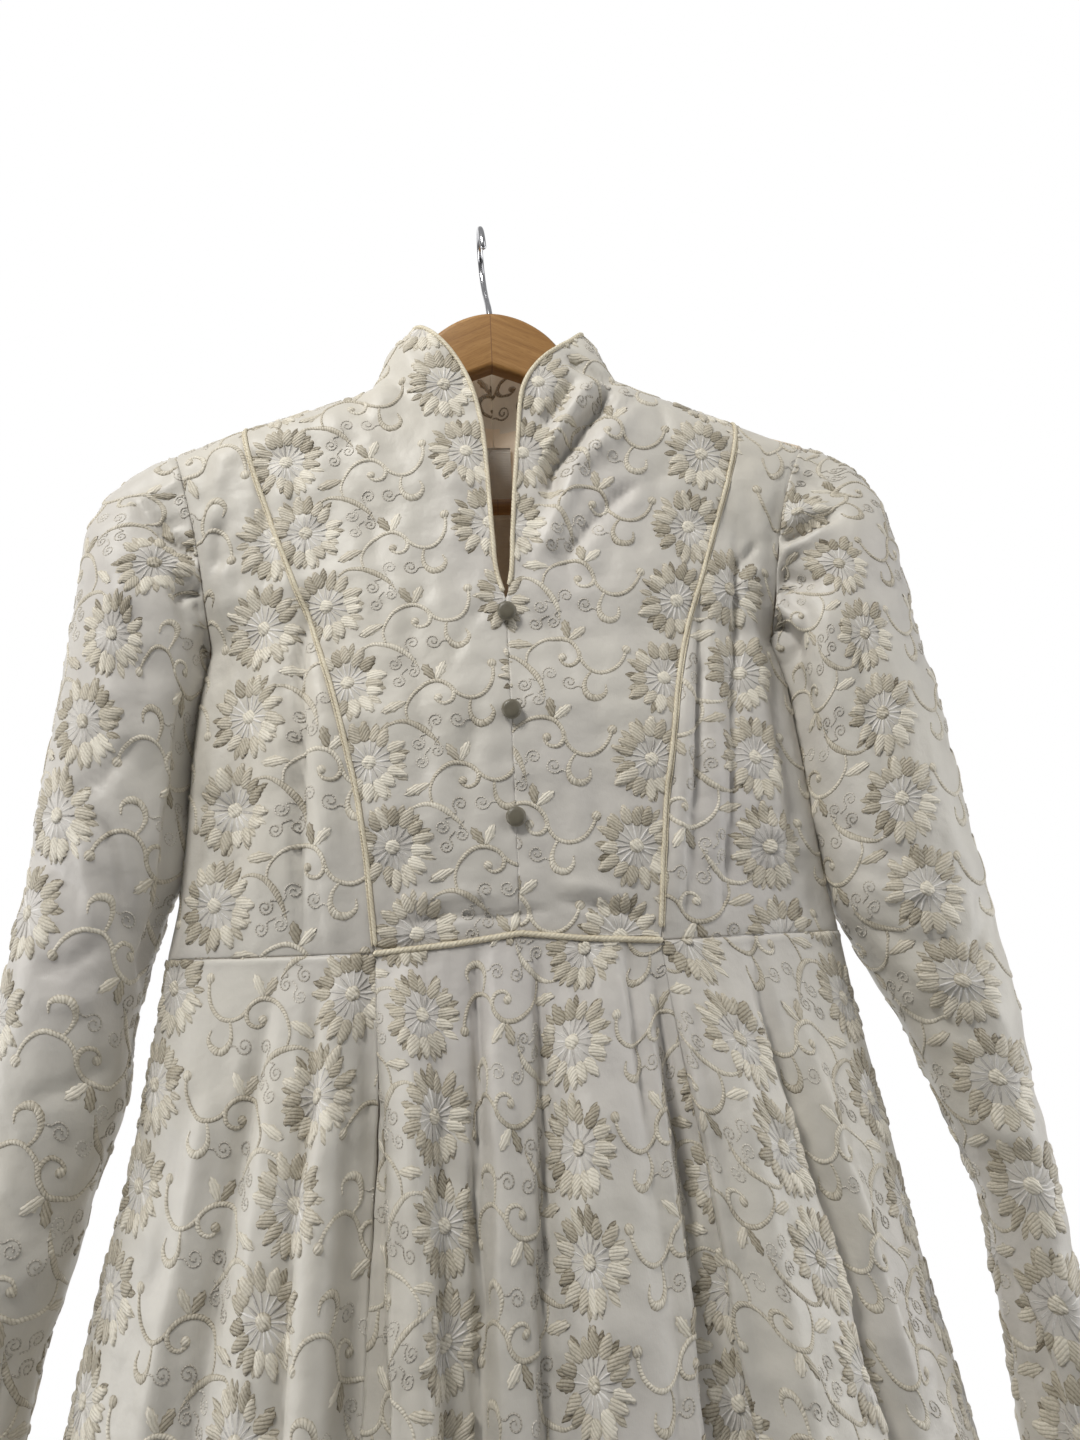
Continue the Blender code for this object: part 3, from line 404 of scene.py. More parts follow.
def skirt_row(u, drop, face):
    u = np.asarray(u, float)
    half = np.where(u < 0, look(SKIRT, SKIRT_ROWS, "left", drop),
                    look(SKIRT, SKIRT_ROWS, "right", drop))
    deep = look(SKIRT, SKIRT_ROWS, face, drop)
    t = (drop - WAIST_DROP) / (HEM_DROP - WAIST_DROP)
    p, q = 2.4 - 0.4 * t, 1.8 + 0.2 * t
    au = np.clip(np.abs(u), 0, 1)
    x, y = half * u, deep * (1 - au ** p) ** (1 / q)
    push = flute(u, drop, FRONT_FLUTES if face == "front" else BACK_FLUTES)
    lean = np.arctan2(half * (1 - au) * 2.2 + 1e-6, deep)
    x = x + np.copysign(push * np.cos(lean), u)
    y = y + push * np.sin(lean)
    y[au >= 1] = 0
    rise = 6.5 * np.clip(1 - np.abs(x) / 77, 0, 1) if face == "front" else 0
    fade = max(0.0, 1 - (drop - 462) / 60)
    z = -(drop - rise * fade) + 0 * x
    return np.stack([x, -y if face == "front" else y, z], -1), half * u


def skirt_surface(face, shares, drops):
    top, flat_x = skirt_row(shares(WAIST_DROP), WAIST_DROP, face)
    shift = foot_line(flat_x, face) - top
    rows = []
    for d in drops:
        row, _ = skirt_row(shares(d), d, face)
        rows.append(row + shift * (1 - smooth((d - WAIST_DROP) / 34)))
    return np.array(rows)


def seam_share(drop, side):
    seam = look(SKIRT, SKIRT_ROWS, "seam_l" if side < 0 else "seam_r", drop)
    half = look(SKIRT, SKIRT_ROWS, "left" if side < 0 else "right", drop)
    return side * float(seam / half)


def catmull(points, t):
    """Smooth grid through rings of points, at ring numbers t."""
    span = np.linalg.norm(np.diff(points, axis=0), axis=-1)[..., None]
    d = np.diff(points, axis=0) / span
    m = np.concatenate([d[:1], (d[:-1] * span[1:] + d[1:] * span[:-1])
                        / (span[1:] + span[:-1]), d[-1:]])
    t = np.asarray(t, float)
    i = np.clip(t.astype(int), 0, len(points) - 2)
    f = (t - i)[:, None, None]
    p, q = points[i], points[i + 1]
    a, b = m[i] * span[i], m[i + 1] * span[i]
    return (p + f * (a + f * (3 * (q - p) - 2 * a - b
                              + f * (a + b - 2 * (q - p)))))


def sleeve_surface(side, t, v):
    """v counts sixteenths of the turn from the outer edge, front first."""
    v = np.asarray(v, float) % 16
    rows = front_table(side)
    arm = line(rows, FRONT_ROWS, "ex", "ed", np.where(v <= 8, v, 16 - v))
    x, d = side * arm[:, 0], arm[:, 1]
    y = np.where(v <= 8, -bodice_depth(x, d, side, "front"),
                 bodice_depth(x, d, side, "back"))
    y[(v == 8) | (v == 0)] = 0
    rings = [np.stack([x, y, -d], -1)]
    a = math.pi * v / 8
    for row in (SLEEVE_LEFT if side < 0 else SLEEVE_RIGHT):
        c = dict(zip(SLEEVE_ROWS, row))
        out = np.array([side * c["ox"], 0, -c["od"]])
        inn = np.array([side * c["ix"], 0, -c["id"]])
        ring = ((out + inn) / 2 + np.cos(a)[:, None] * (out - inn) / 2)
        ring[:, 1] = -c["depth"] * np.sin(a)
        rings.append(ring)
    return catmull(np.array(rings), t)


# ------------------------------------------------------------------ creases
# Each crease is a run of (x, drop) points, a width, a depth (- is a trough,
# + a ridge) and a lip: how much of the depth rises again beside it.
def crease_field(x, d, creases):
    out = np.zeros_like(x)
    for pts, width, depth, lip in creases:
        pts = np.asarray(pts, float)
        seg = np.diff(pts, axis=0)
        size = np.linalg.norm(seg, axis=1)
        total, run = size.sum(), 0.0
        best = np.full(x.shape, 1e9)
        along = np.zeros(x.shape)
        for p, s, n in zip(pts, seg, size):
            f = np.clip(((x - p[0]) * s[0] + (d - p[1]) * s[1]) / n ** 2, 0, 1)
            r = np.hypot(x - p[0] - s[0] * f, d - p[1] - s[1] * f)
            near = r < best
            best = np.where(near, r, best)
            along = np.where(near, (run + f * n) / total, along)
            run += n
        q = (best / width) ** 2
        taper = np.sqrt(smooth(along / 0.25) * smooth((1 - along) / 0.25) + 0.04)
        out += depth * (1 - lip * q) * np.exp(-q) * taper
    return out


def step_field(x, d, steps):
    """A layer that lies behind the line's left side and rises again."""
    out = np.zeros_like(x)
    for pts, reach, depth, side in steps:
        pts = np.asarray(pts, float)
        at = np.interp(d, pts[:, 1], pts[:, 0])
        off = (x - at) * side
        ends = smooth((d - pts[0, 1]) / 35) * smooth((pts[-1, 1] + 30 - d) / 30)
        fall = np.exp(-(np.clip(off, 0, None) / reach) ** 2)
        out += -depth * fall * smooth(off / 3.0 + 0.5) * ends
    return out


def ripple(p, size, seed):
    """Slow unevenness of hanging cloth, from a few crossing waves."""
    rng = np.random.default_rng(seed)
    out = np.zeros(p.shape[:-1])
    for wave in (95, 70, 48, 34, 26):
        for _ in range(3):
            k = rng.normal(size=3) * (1.5, 1.0, 0.7)
            k *= 2 * math.pi / wave / np.linalg.norm(k)
            out += size * wave / 95 * np.sin(p @ k + rng.uniform(0, 6.3))
    # the stitching draws the cloth together in small puckers
    for wave in (27, 21, 17, 14):
        for _ in range(3):
            k = rng.normal(size=3) * (1.3, 0.6, 1.0)
            k *= 2 * math.pi / wave / np.linalg.norm(k)
            out += size * 0.34 * wave / 20 * np.sin(
                p @ k + rng.uniform(0, 6.3))
    return out


BODICE_FRONT = [
    # left side: the sharp tuck from the bib seam to the waist, soft folds
    ([(-113, 262), (-117, 298), (-115, 340), (-116, 378), (-117, 462)],
     2.8, -4.8, 0.5),
    ([(-106, 290), (-104, 347), (-101, 407), (-98, 470)], 7.0, 3.9, 0.2),
    ([(-124, 270), (-125, 340), (-126, 450)], 5.0, 1.8, 0.3),
    ([(-130, 250), (-133, 300), (-135, 370), (-137, 440)], 9.0, 2.4, 0.5),
    ([(-150, 300), (-152, 360), (-155, 430)], 8.0, -2.7, 0.5),
    ([(-166, 330), (-168, 380), (-171, 440)], 6.0, 1.8, 0.5),
    ([(-165, 210), (-167, 221), (-168, 240)], 6.0, -3.3, 0.5),
    ([(-160, 215), (-150, 260), (-142, 300)], 8.0, -2.0, 0.5),
    ([(-138, 165), (-140, 190), (-137, 222)], 7.0, -2.0, 0.6),
    ([(-164, 160), (-168, 185), (-168, 215)], 7.0, 1.7, 0.6),
    ([(-128, 300), (-122, 330), (-119, 360)], 4.0, -1.8, 0.6),
    ([(-176, 372), (-160, 380), (-142, 382)], 6.0, -1.4, 0.6),
    ([(-180, 420), (-164, 428), (-146, 428)], 6.0, 1.4, 0.6),
    ([(-143, 200), (-139, 220), (-138, 241), (-138, 256)], 5.0, -2.6, 0.5),
    # right side
    ([(145, 215), (139, 274), (137, 296), (132, 329), (125, 386),
      (119, 420), (112, 462)], 3.6, -4.2, 0.6),
    ([(116, 270), (115, 287), (110, 325), (105, 361), (99, 395),
      (92, 462)], 2.6, -4.2, 0.4),
    ([(109, 280), (104, 320), (99, 361), (93, 400), (86, 450)],
     5.0, 3.6, 0.2),
    ([(122, 262), (121, 310), (116, 370), (107, 440)], 6.0, 2.8, 0.4),
    ([(150, 250), (150, 310), (151, 370), (150, 440)], 8.0, 2.8, 0.5),
    ([(160, 300), (161, 350), (164, 430)], 6.0, -2.5, 0.5),
    ([(140, 168), (141, 200), (137, 235)], 7.0, -1.8, 0.6),
    ([(158, 172), (160, 200), (158, 232)], 7.0, 1.7, 0.5),
    ([(157, 229), (148, 239), (139, 245)], 3.4, -3.0, 0.5),
    ([(158, 244), (150, 252), (142, 258)], 4.0, 2.0, 0.5),
    ([(170, 392), (156, 398), (138, 396)], 6.0, -1.5, 0.6),
    # collar: the right side falls in where it leaves the shoulder
    ([(46, 103), (56, 112), (66, 117), (80, 118)], 4.8, -6.6, 0.5),
    ([(50, 120), (38, 139), (28, 155)], 4.6, -5.6, 0.5),
    ([(78, 120), (61, 144), (52, 155), (44, 166), (33, 180), (28, 206)],
     5.8, -10.5, 0.35),
    ([(64, 120), (50, 139), (40, 154), (30, 172)], 4.6, 4.0, 0.3),
    ([(84, 142), (72, 159), (49, 179), (34, 213), (18, 251)], 7.0, 4.6, 0.3),
    ([(88, 190), (69, 203), (55, 218), (43, 233), (37, 244)], 5.6, -4.4, 0.5),
    ([(101, 138), (104, 149), (104, 160)], 4.5, -2.4, 0.5),
    ([(88, 132), (80, 140), (70, 150)], 5.0, -2.4, 0.5),
    ([(-70, 100), (-64, 116), (-52, 134)], 6.0, -2.7, 0.5),
    ([(-84, 124), (-80, 140), (-70, 158)], 7.0, -2.2, 0.5),
    ([(-58, 92), (-50, 108), (-40, 124)], 6.0, 2.1, 0.4),
    ([(-40, 150), (-34, 176), (-24, 200)], 8.0, 1.8, 0.4),
    # bib: faint drag lines from the slit and above the waist cord
    ([(-8, 266), (-24, 284), (-34, 312)], 5.0, -1.7, 0.5),
    ([(10, 268), (28, 290), (40, 322)], 5.0, -1.5, 0.5),
    ([(20, 236), (40, 250), (62, 258)], 7.0, -1.5, 0.5),
    ([(-66, 449), (-36, 445), (-10, 447), (20, 444)], 3.2, -2.4, 0.6),
    ([(18, 439), (46, 444), (72, 452)], 3.2, -2.1, 0.6),
    ([(-60, 437), (-30, 434), (-4, 436)], 4.0, 1.7, 0.5),
    ([(20, 430), (44, 434), (66, 440)], 4.0, 1.5, 0.5),
    ([(-20, 330), (-26, 370), (-22, 410)], 8.0, -1.7, 0.4),
    ([(52, 330), (46, 370), (44, 420)], 8.0, -1.7, 0.4),
    ([(-58, 262), (-50, 320), (-48, 380)], 8.0, -1.7, 0.4),
    ([(-96, 180), (-80, 206), (-70, 236)], 8.0, -1.7, 0.5),
    ([(100, 180), (86, 214), (76, 250)], 8.0, -1.7, 0.5),
]
BODICE_BACK = [
    ([(-74, 300), (-76, 350), (-78, 410), (-80, 462)], 4.0, -2.6, 0.6),
    ([(76, 296), (78, 350), (77, 410), (79, 462)], 4.0, -2.5, 0.6),
    ([(-118, 270), (-120, 330), (-122, 400)], 9.0, -1.6, 0.5),
    ([(121, 262), (124, 330), (122, 410)], 9.0, -1.7, 0.5),
    ([(-52, 132), (-66, 160), (-80, 200)], 9.0, -1.6, 0.5),
    ([(55, 130), (70, 162), (84, 196)], 9.0, -1.7, 0.5),
    ([(-140, 176), (-136, 220), (-132, 262)], 8.0, -1.2, 0.5),
    ([(139, 170), (134, 214), (132, 258)], 8.0, -1.3, 0.5),
    ([(-12, 108), (-14, 122), (-12, 138)], 5.0, -1.6, 0.5),
    ([(13, 106), (15, 120), (14, 140)], 5.0, -1.5, 0.5),
    ([(-26, 98), (-27, 114), (-24, 132)], 6.0, 1.5, 0.3),
    ([(27, 98), (28, 116), (25, 134)], 6.0, 1.4, 0.3),
    ([(-60, 440), (-30, 436), (-8, 441)], 4.5, -1.0, 0.6),
    ([(12, 438), (36, 441), (66, 436)], 4.5, -0.9, 0.6),
    ([(-40, 200), (-44, 260), (-42, 330)], 11.0, 1.2, 0.4),
    ([(38, 214), (43, 270), (44, 340)], 11.0, 1.3, 0.4),
]
SKIRT_FRONT = [
    ([(-81, 466), (-80, 520), (-78, 547), (-77, 604), (-75, 690),
      (-74, 780)], 4.6, -6.2, 0.25),
    ([(-96, 500), (-100, 560), (-104, 640), (-108, 760)], 8.0, 6.3, 0.25),
    ([(-109, 478), (-110, 540), (-113, 561), (-118, 606), (-120, 666),
      (-126, 760)], 5.0, -5.9, 0.4),
    ([(-126, 500), (-132, 580), (-140, 680), (-148, 780)], 9.0, 4.9, 0.3),
    ([(-61, 466), (-57, 513), (-56, 600), (-54, 690), (-52, 800)],
     7.0, 5.9, 0.3),
    ([(-42, 470), (-41, 560), (-42, 690), (-42, 800)], 6.0, -3.7, 0.4),
    ([(-23, 460), (-24, 519), (-25, 553), (-28, 588), (-27, 624),
      (-29, 681), (-30, 780)], 3.0, -6.6, 0.4),
    ([(-14, 470), (-14, 560), (-16, 690), (-18, 780)], 5.0, 4.1, 0.3),
    ([(-4, 500), (-3, 600), (-4, 700)], 5.0, -2.4, 0.4),
    ([(10, 462), (9, 540), (5, 640), (3, 740)], 3.4, -6.3, 0.5),
    ([(30, 500), (31, 586), (32, 700)], 9.0, 3.7, 0.3),
    ([(58, 462), (60, 500), (62, 560)], 4.0, -3.7, 0.5),
    ([(64, 490), (67, 560), (70, 640), (66, 720), (66, 800)],
     4.2, 6.7, 0.3),
    ([(73, 480), (75, 528), (77, 558), (80, 588), (78, 640), (74, 690),
      (74, 790)], 3.0, -7.8, 0.35),
    ([(86, 480), (87, 519), (90, 549), (94, 588), (98, 651), (104, 700),
      (112, 790)], 3.2, 4.9, 0.3),
    ([(108, 500), (114, 580), (124, 680), (136, 780)], 10.0, 4.9, 0.3),
    ([(129, 466), (132, 505), (142, 545), (148, 578), (158, 610),
      (163, 642), (166, 674), (174, 700), (186, 780)], 5.0, -9.2, 0.4),
    ([(150, 500), (162, 570), (178, 640), (192, 720)], 7.0, 4.9, 0.3),
    ([(-130, 472), (-146, 560), (-160, 652), (-176, 780)], 6.0, -4.9, 0.4),
    ([(-160, 520), (-172, 600), (-188, 700)], 8.0, 3.7, 0.3),
    # short gathers and pulls just under the waist
    ([(-52, 462), (-50, 478), (-47, 500)], 3.0, -1.6, 0.6),
    ([(-40, 460), (-41, 474), (-43, 492)], 3.0, 1.3, 0.5),
    ([(-14, 458), (-15, 476), (-13, 500)], 3.0, 1.4, 0.5),
    ([(0, 457), (1, 470), (0, 488)], 2.6, -1.4, 0.5),
    ([(22, 459), (24, 476), (27, 500)], 3.2, 1.4, 0.5),
    ([(34, 461), (36, 474), (38, 490)], 3.0, -1.4, 0.5),
    ([(48, 463), (50, 478), (54, 496)], 3.0, 1.3, 0.5),
    ([(-100, 466), (-106, 492), (-112, 520)], 5.0, -1.3, 0.5),
    ([(100, 466), (106, 490), (112, 520)], 5.0, -1.3, 0.5),
    # lower skirt
    ([(-210, 900), (-228, 1060), (-250, 1240), (-270, 1420)], 12, -4.6, 0.4),
    ([(214, 880), (232, 1050), (252, 1240), (270, 1430)], 12, -4.9, 0.4),
    ([(30, 860), (34, 1010), (40, 1180), (46, 1350)], 13, 4.3, 0.3),
    ([(-110, 900), (-118, 1050), (-122, 1220)], 12, -3.8, 0.4),
    ([(150, 940), (162, 1100), (168, 1280)], 12, 4.1, 0.3),
]
SKIRT_BACK = [
    ([(-46, 466), (-48, 560), (-52, 700), (-54, 860)], 5.0, -3.0, 0.4),
    ([(52, 466), (56, 570), (62, 720), (66, 880)], 5.0, -2.8, 0.4),
    ([(-110, 470), (-118, 580), (-130, 720)], 7.0, -2.6, 0.4),
    ([(112, 474), (120, 590), (134, 740)], 7.0, -2.4, 0.4),
    ([(-84, 500), (-90, 620), (-100, 780)], 10.0, 2.2, 0.3),
    ([(86, 510), (94, 640), (104, 800)], 10.0, 2.4, 0.3),
    ([(-20, 474), (-22, 520), (-24, 590)], 4.0, 1.6, 0.4),
    ([(24, 470), (26, 522), (30, 600)], 4.0, 1.5, 0.4),
    ([(-160, 700), (-178, 900), (-196, 1120)], 12.0, -3.0, 0.4),
    ([(158, 680), (176, 880), (198, 1130)], 12.0, -3.2, 0.4),
    ([(-60, 900), (-66, 1080), (-72, 1300)], 13.0, 3.0, 0.3),
    ([(70, 920), (78, 1100), (86, 1320)], 13.0, 2.8, 0.3),
]
SLEEVE_FRONT = {-1: [
    ([(-204, 208), (-197, 215), (-188, 224), (-181, 229), (-174, 233)],
     4.4, -5.4, 0.5),
    ([(-196, 236), (-184, 240), (-172, 240)], 6.0, 2.6, 0.3),
    ([(-192, 255), (-184, 253), (-179, 251), (-171, 248)], 4.4, -4.2, 0.5),
    ([(-181, 256), (-176, 261), (-171, 264)], 4.6, -3.4, 0.5),
    ([(-170, 271), (-175, 283), (-177, 300)], 5.0, -2.6, 0.5),
    ([(-218, 188), (-208, 202), (-197, 209), (-184, 206)], 4.6, -3.4, 0.5),
    ([(-202, 212), (-192, 219), (-183, 224), (-176, 232)], 3.6, -2.6, 0.5),
    ([(-205, 224), (-194, 232), (-182, 240)], 4.6, 2.0, 0.4),
    ([(-186, 178), (-200, 186), (-214, 192)], 4.6, 1.8, 0.5),
    ([(-196, 234), (-188, 252), (-182, 276)], 4.6, -2.4, 0.5),
    ([(-214, 262), (-204, 290), (-200, 320)], 7.0, -2.2, 0.5),
    ([(-226, 300), (-216, 340), (-214, 376)], 8.0, 2.0, 0.4),
    ([(-206, 340), (-222, 362), (-240, 374)], 5.5, -2.6, 0.5),
    ([(-236, 372), (-220, 391), (-216, 412), (-212, 438), (-208, 456)],
     4.6, -3.6, 0.5),
    ([(-232, 392), (-230, 416), (-224, 444)], 6.0, 2.2, 0.4),
    ([(-268, 398), (-252, 410), (-236, 424)], 5.0, -2.6, 0.5),
    ([(-222, 452), (-238, 462), (-258, 464)], 5.5, -2.8, 0.5),
    ([(-218, 474), (-236, 482), (-258, 480)], 6.0, 2.0, 0.5),
    ([(-218, 510), (-236, 524), (-262, 530)], 6.0, -2.4, 0.5),
    ([(-292, 560), (-272, 574), (-252, 596)], 6.5, -2.4, 0.5),
    ([(-240, 600), (-260, 618), (-288, 622)], 6.0, 1.8, 0.5),
    ([(-262, 650), (-276, 690), (-286, 735)], 6.0, -2.4, 0.5),
    ([(-300, 660), (-308, 700), (-316, 740)], 6.0, 1.8, 0.5),
], 1: [
    ([(164, 216), (180, 212), (204, 204)], 5.5, 3.6, 0.2),
    ([(162, 228), (178, 224), (189, 220), (206, 213)], 4.6, -6.2, 0.4),
    ([(163, 237), (175, 234), (184, 231), (202, 225)], 4.6, 5.4, 0.2),
    ([(158, 246), (168, 248), (177, 253), (192, 258)], 7.0, -5.6, 0.4),
    ([(158, 256), (165, 262), (171, 269), (176, 276), (180, 288)],
     3.6, 4.6, 0.3),
    ([(157, 272), (164, 275), (170, 281), (173, 291), (173, 304)],
     3.8, -5.4, 0.4),
    ([(157, 280), (164, 286), (167, 298), (166, 312)], 4.0, 3.6, 0.3),
    ([(181, 274), (175, 303), (178, 335), (174, 378)], 5.0, -3.6, 0.4),
    ([(190, 262), (190, 300), (192, 350)], 7.0, 2.4, 0.3),
    ([(190, 246), (202, 256), (214, 270)], 6.0, -1.8, 0.5),
    ([(186, 184), (198, 190), (212, 200)], 5.0, -2.4, 0.5),
    ([(206, 290), (210, 340), (214, 380)], 7.0, -2.2, 0.5),
    ([(222, 300), (228, 350), (234, 400)], 9.0, 2.0, 0.4),
    ([(190, 400), (208, 420), (228, 426)], 5.0, -3.0, 0.5),
    ([(194, 434), (212, 444), (236, 442)], 5.0, 2.2, 0.5),
    ([(202, 460), (222, 472), (248, 470)], 5.0, -3.0, 0.5),
    ([(214, 482), (234, 494), (256, 494)], 5.5, 2.0, 0.5),
    ([(222, 510), (240, 520), (262, 518)], 6.0, -2.4, 0.5),
    ([(272, 440), (262, 460), (256, 490)], 7.0, -1.8, 0.5),
    ([(244, 560), (258, 574), (276, 578)], 6.0, 2.0, 0.5),
    ([(268, 690), (262, 704), (268, 726)], 4.0, -2.6, 0.5),
    ([(279, 640), (285, 680), (290, 740)], 8.0, 2.0, 0.3),
]}
SLEEVE_STEP = {-1: [
    ([(-187, 300), (-187, 314), (-189, 337), (-191, 365), (-194, 381),
      (-195, 397), (-197, 420), (-203, 443), (-208, 462)], 12.0, 5.0, 1)],
    1: [
    ([(250, 618), (259, 640), (264, 658), (268, 673), (272, 690),
      (274.5, 706), (277, 744)], 16.0, 5.0, -1)]}
SLEEVE_BACK = {s: [
    ([(s * 184, 190), (s * 198, 206), (s * 212, 220)], 6.0, -2.0, 0.5),
    ([(s * 178, 230), (s * 190, 250), (s * 202, 266)], 6.0, -2.0, 0.5),
    ([(s * 204, 330), (s * 212, 370), (s * 220, 400)], 9.0, -1.6, 0.5),
    ([(s * 264, 400), (s * 244, 414), (s * 222, 416)], 6.0, -2.2, 0.5),
    ([(s * 270, 436), (s * 250, 446), (s * 226, 444)], 6.0, 1.7, 0.5),
    ([(s * 274, 470), (s * 256, 482), (s * 236, 480)], 6.0, -1.9, 0.5),
    ([(s * 286, 560), (s * 270, 576), (s * 252, 590)], 7.0, -1.5, 0.5),
    ([(s * 290, 650), (s * 292, 690), (s * 298, 735)], 7.0, -1.4, 0.5),
] for s in (-1, 1)}


# ----------------------------------------------------------------- the grids
def marks(length, step, near=(1.2, 3.2), clear=6.0):
    """Distances along an edge: even, and closer together at both ends."""
    n = max(3, round((length - 2 * clear) / step))
    mid = np.linspace(clear, length - clear, n + 1)
    near = np.array((0,) + near)
    return np.concatenate([near, mid, length - near[::-1]])


def even(path, param, step):
    """Parameters at even steps along a path sampled at param."""
    run = np.concatenate([[0], np.cumsum(
        np.linalg.norm(np.diff(path, axis=0), axis=1))])
    return np.interp(marks(run[-1], step), run, param)


def unit(v):
    return v / np.maximum(np.linalg.norm(v, axis=-1, keepdims=True), 1e-9)


def grid_normals(p, closed, out):
    down = np.gradient(p, axis=0)
    across = ((np.roll(p, -1, 1) - np.roll(p, 1, 1)) if closed
              else np.gradient(p, axis=1))
    n = unit(np.cross(down, across))
    return n * (1.0 if np.sum(n * out) > 0 else -1.0)


def run_in(p, axis):
    """Distance along each grid line from its first point."""
    step = np.linalg.norm(np.diff(p, axis=axis), axis=-1)
    pad = [(0, 0), (0, 0)]
    pad[axis] = (1, 0)
    return np.pad(np.cumsum(step, axis=axis), pad)


class Cloth:
    """One panel: its hanging surface and the flat cut it came from."""

    def __init__(self, name, p, out, sewn, disp, flat=None, closed=False):
        self.name, self.closed = name, closed
        n = grid_normals(p, closed, out)
        p = p + n * disp[..., None]
        n = grid_normals(p, closed, out)
        # the sewn edges sink into their seams
        down, across = run_in(p, 0), run_in(p, 1)
        dist = {"top": down, "foot": down[-1:] - down, "start": across,
                "end": across[:, -1:] - across}
        sink = np.zeros(p.shape[:2])
        for edge, mask in sewn:
            here = np.exp(-(dist[edge] / GROOVE_W) ** 2)
            mask = np.asarray(mask, float)
            if mask.ndim == 1:
                mask = mask[:, None] if edge in ("start", "end") else mask
            sink = np.maximum(sink, here * mask)
        self.p = p - n * (GROOVE * sink)[..., None]
        self.n = grid_normals(self.p, closed, out)
        self.flat = flat

    def unrolled(self):
        """Points, normals and flat cut as open grids."""
        if not self.closed:
            return self.p, self.n, self.flat
        wrap = [np.concatenate([a, a[:, :1]], 1) for a in (self.p, self.n)]
        return wrap[0], wrap[1], self.flat


def flat_bodice(x, drop, side, face, dense={}):
    """Place in the flat cut: run along the cloth sideways and downwards."""
    if (side, face) not in dense:
        gx, gd = np.arange(0, 301.0), np.arange(50, 476.0)
        y = bodice_depth(side * gx[:, None] + 0 * gd, gd[None] + 0 * gx[:, None],
                         side, face)
        across = np.hypot(1, np.minimum(np.abs(np.diff(y, axis=0)), 2.5))
        down = np.hypot(1, np.minimum(np.abs(np.diff(y, axis=1)), 2.5))
        u = np.pad(np.cumsum(across, 0), ((1, 0), (0, 0)))
        v = np.pad(np.cumsum(down, 1), ((0, 0), (1, 0)))
        v = v - v[:, 412:413]
        dense[side, face] = (u, v)
    u, v = dense[side, face]
    fx, fd = np.clip(np.abs(x), 0, 299.99), np.clip(drop - 50, 0, 424.99)
    i, j = fx.astype(int), fd.astype(int)
    a, b = fx - i, fd - j

    def at(g):
        return ((g[i, j] * (1 - b) + g[i, j + 1] * b) * (1 - a)
                + (g[i + 1, j] * (1 - b) + g[i + 1, j + 1] * b) * a)
    return np.stack([at(u) * np.sign(x + 1e-9), at(v)], -1)


FRONT_OUT, BACK_OUT = np.array([0, -1.0, 0]), np.array([0, 1.0, 0])
panels = {}
for side, word in ((-1, "left"), (1, "right")):
    t_fine = np.linspace(0, 13, 261)
    for name, face, lo, hi, step in (
            ("side_front_", "front", 0, 1, 2.7), ("bib_", "front", 1, 3, 2.7),
            ("back_", "back", 0, 4, 4.2)):
        s_fine = np.linspace(lo, hi, 161)
        mid = bodice_surface(side, face, t_fine, [(lo + hi) / 2])[:, 0]
        t = even(mid, t_fine, step)
        if name == "bib_":
            t = np.sort(np.append(t, SLIT_ROW))
        if name == "back_":
            t = np.sort(np.append(t, ZIP_ROW))
        row = bodice_surface(side, face, [8.5], s_fine)[0]
        s = even(row, s_fine, step)
        p = bodice_surface(side, face, t, s)
        x, d = p[..., 0], -p[..., 2]
        creases = BODICE_FRONT if face == "front" else BODICE_BACK
        disp = crease_field(x, d, creases) + ripple(p, 0.42, 3)
        rows = front_table(side)
        edge = hermite([r[1] for r in rows], [r[0] for r in rows], d)
        edge = np.where(d < rows[0][1], 300, edge)
        disp *= smooth((edge - np.abs(x)) / 12)         # quiet at the sides
        disp *= smooth(inside(x, d, side) / 14)         # and at the shoulder
        disp *= smooth((462 - d) / 14) * 0.85 + 0.15
        sewn = [("top", s <= 3), ("foot", np.ones(len(s))),
                ("start", np.ones(len(t)))]
        if name == "side_front_":
            sewn.append(("end", np.full(len(t), 2.4)))
        elif name == "bib_":
            sewn.append(("end", smooth((t - 7.6) * 2)))
        else:
            sewn.append(("end", smooth((t - 3.6) * 2)))
        panels[name + word] = Cloth(
            name + word, p, FRONT_OUT if face == "front" else BACK_OUT,
            sewn, disp, flat_bodice(x, d, side, face))

# skirt rows: closer together where the photo's frame shows them
SKIRT_DROPS = np.concatenate([
    [462.0, 463.2, 464.6, 466.2, 468.6], np.linspace(472, 760, 58),
    np.linspace(770, 1488, 66), [1490.5, 1491.9, 1493.0]])


def shares_between(lo, hi, count):
    """Shares across a skirt panel, closer together at its seams."""
    mid = np.linspace(0.035, 0.965, count)
    part = np.concatenate([[0, 0.006, 0.017], mid, [0.983, 0.994, 1]])
    return lambda drop: lo(drop) + (hi(drop) - lo(drop)) * part


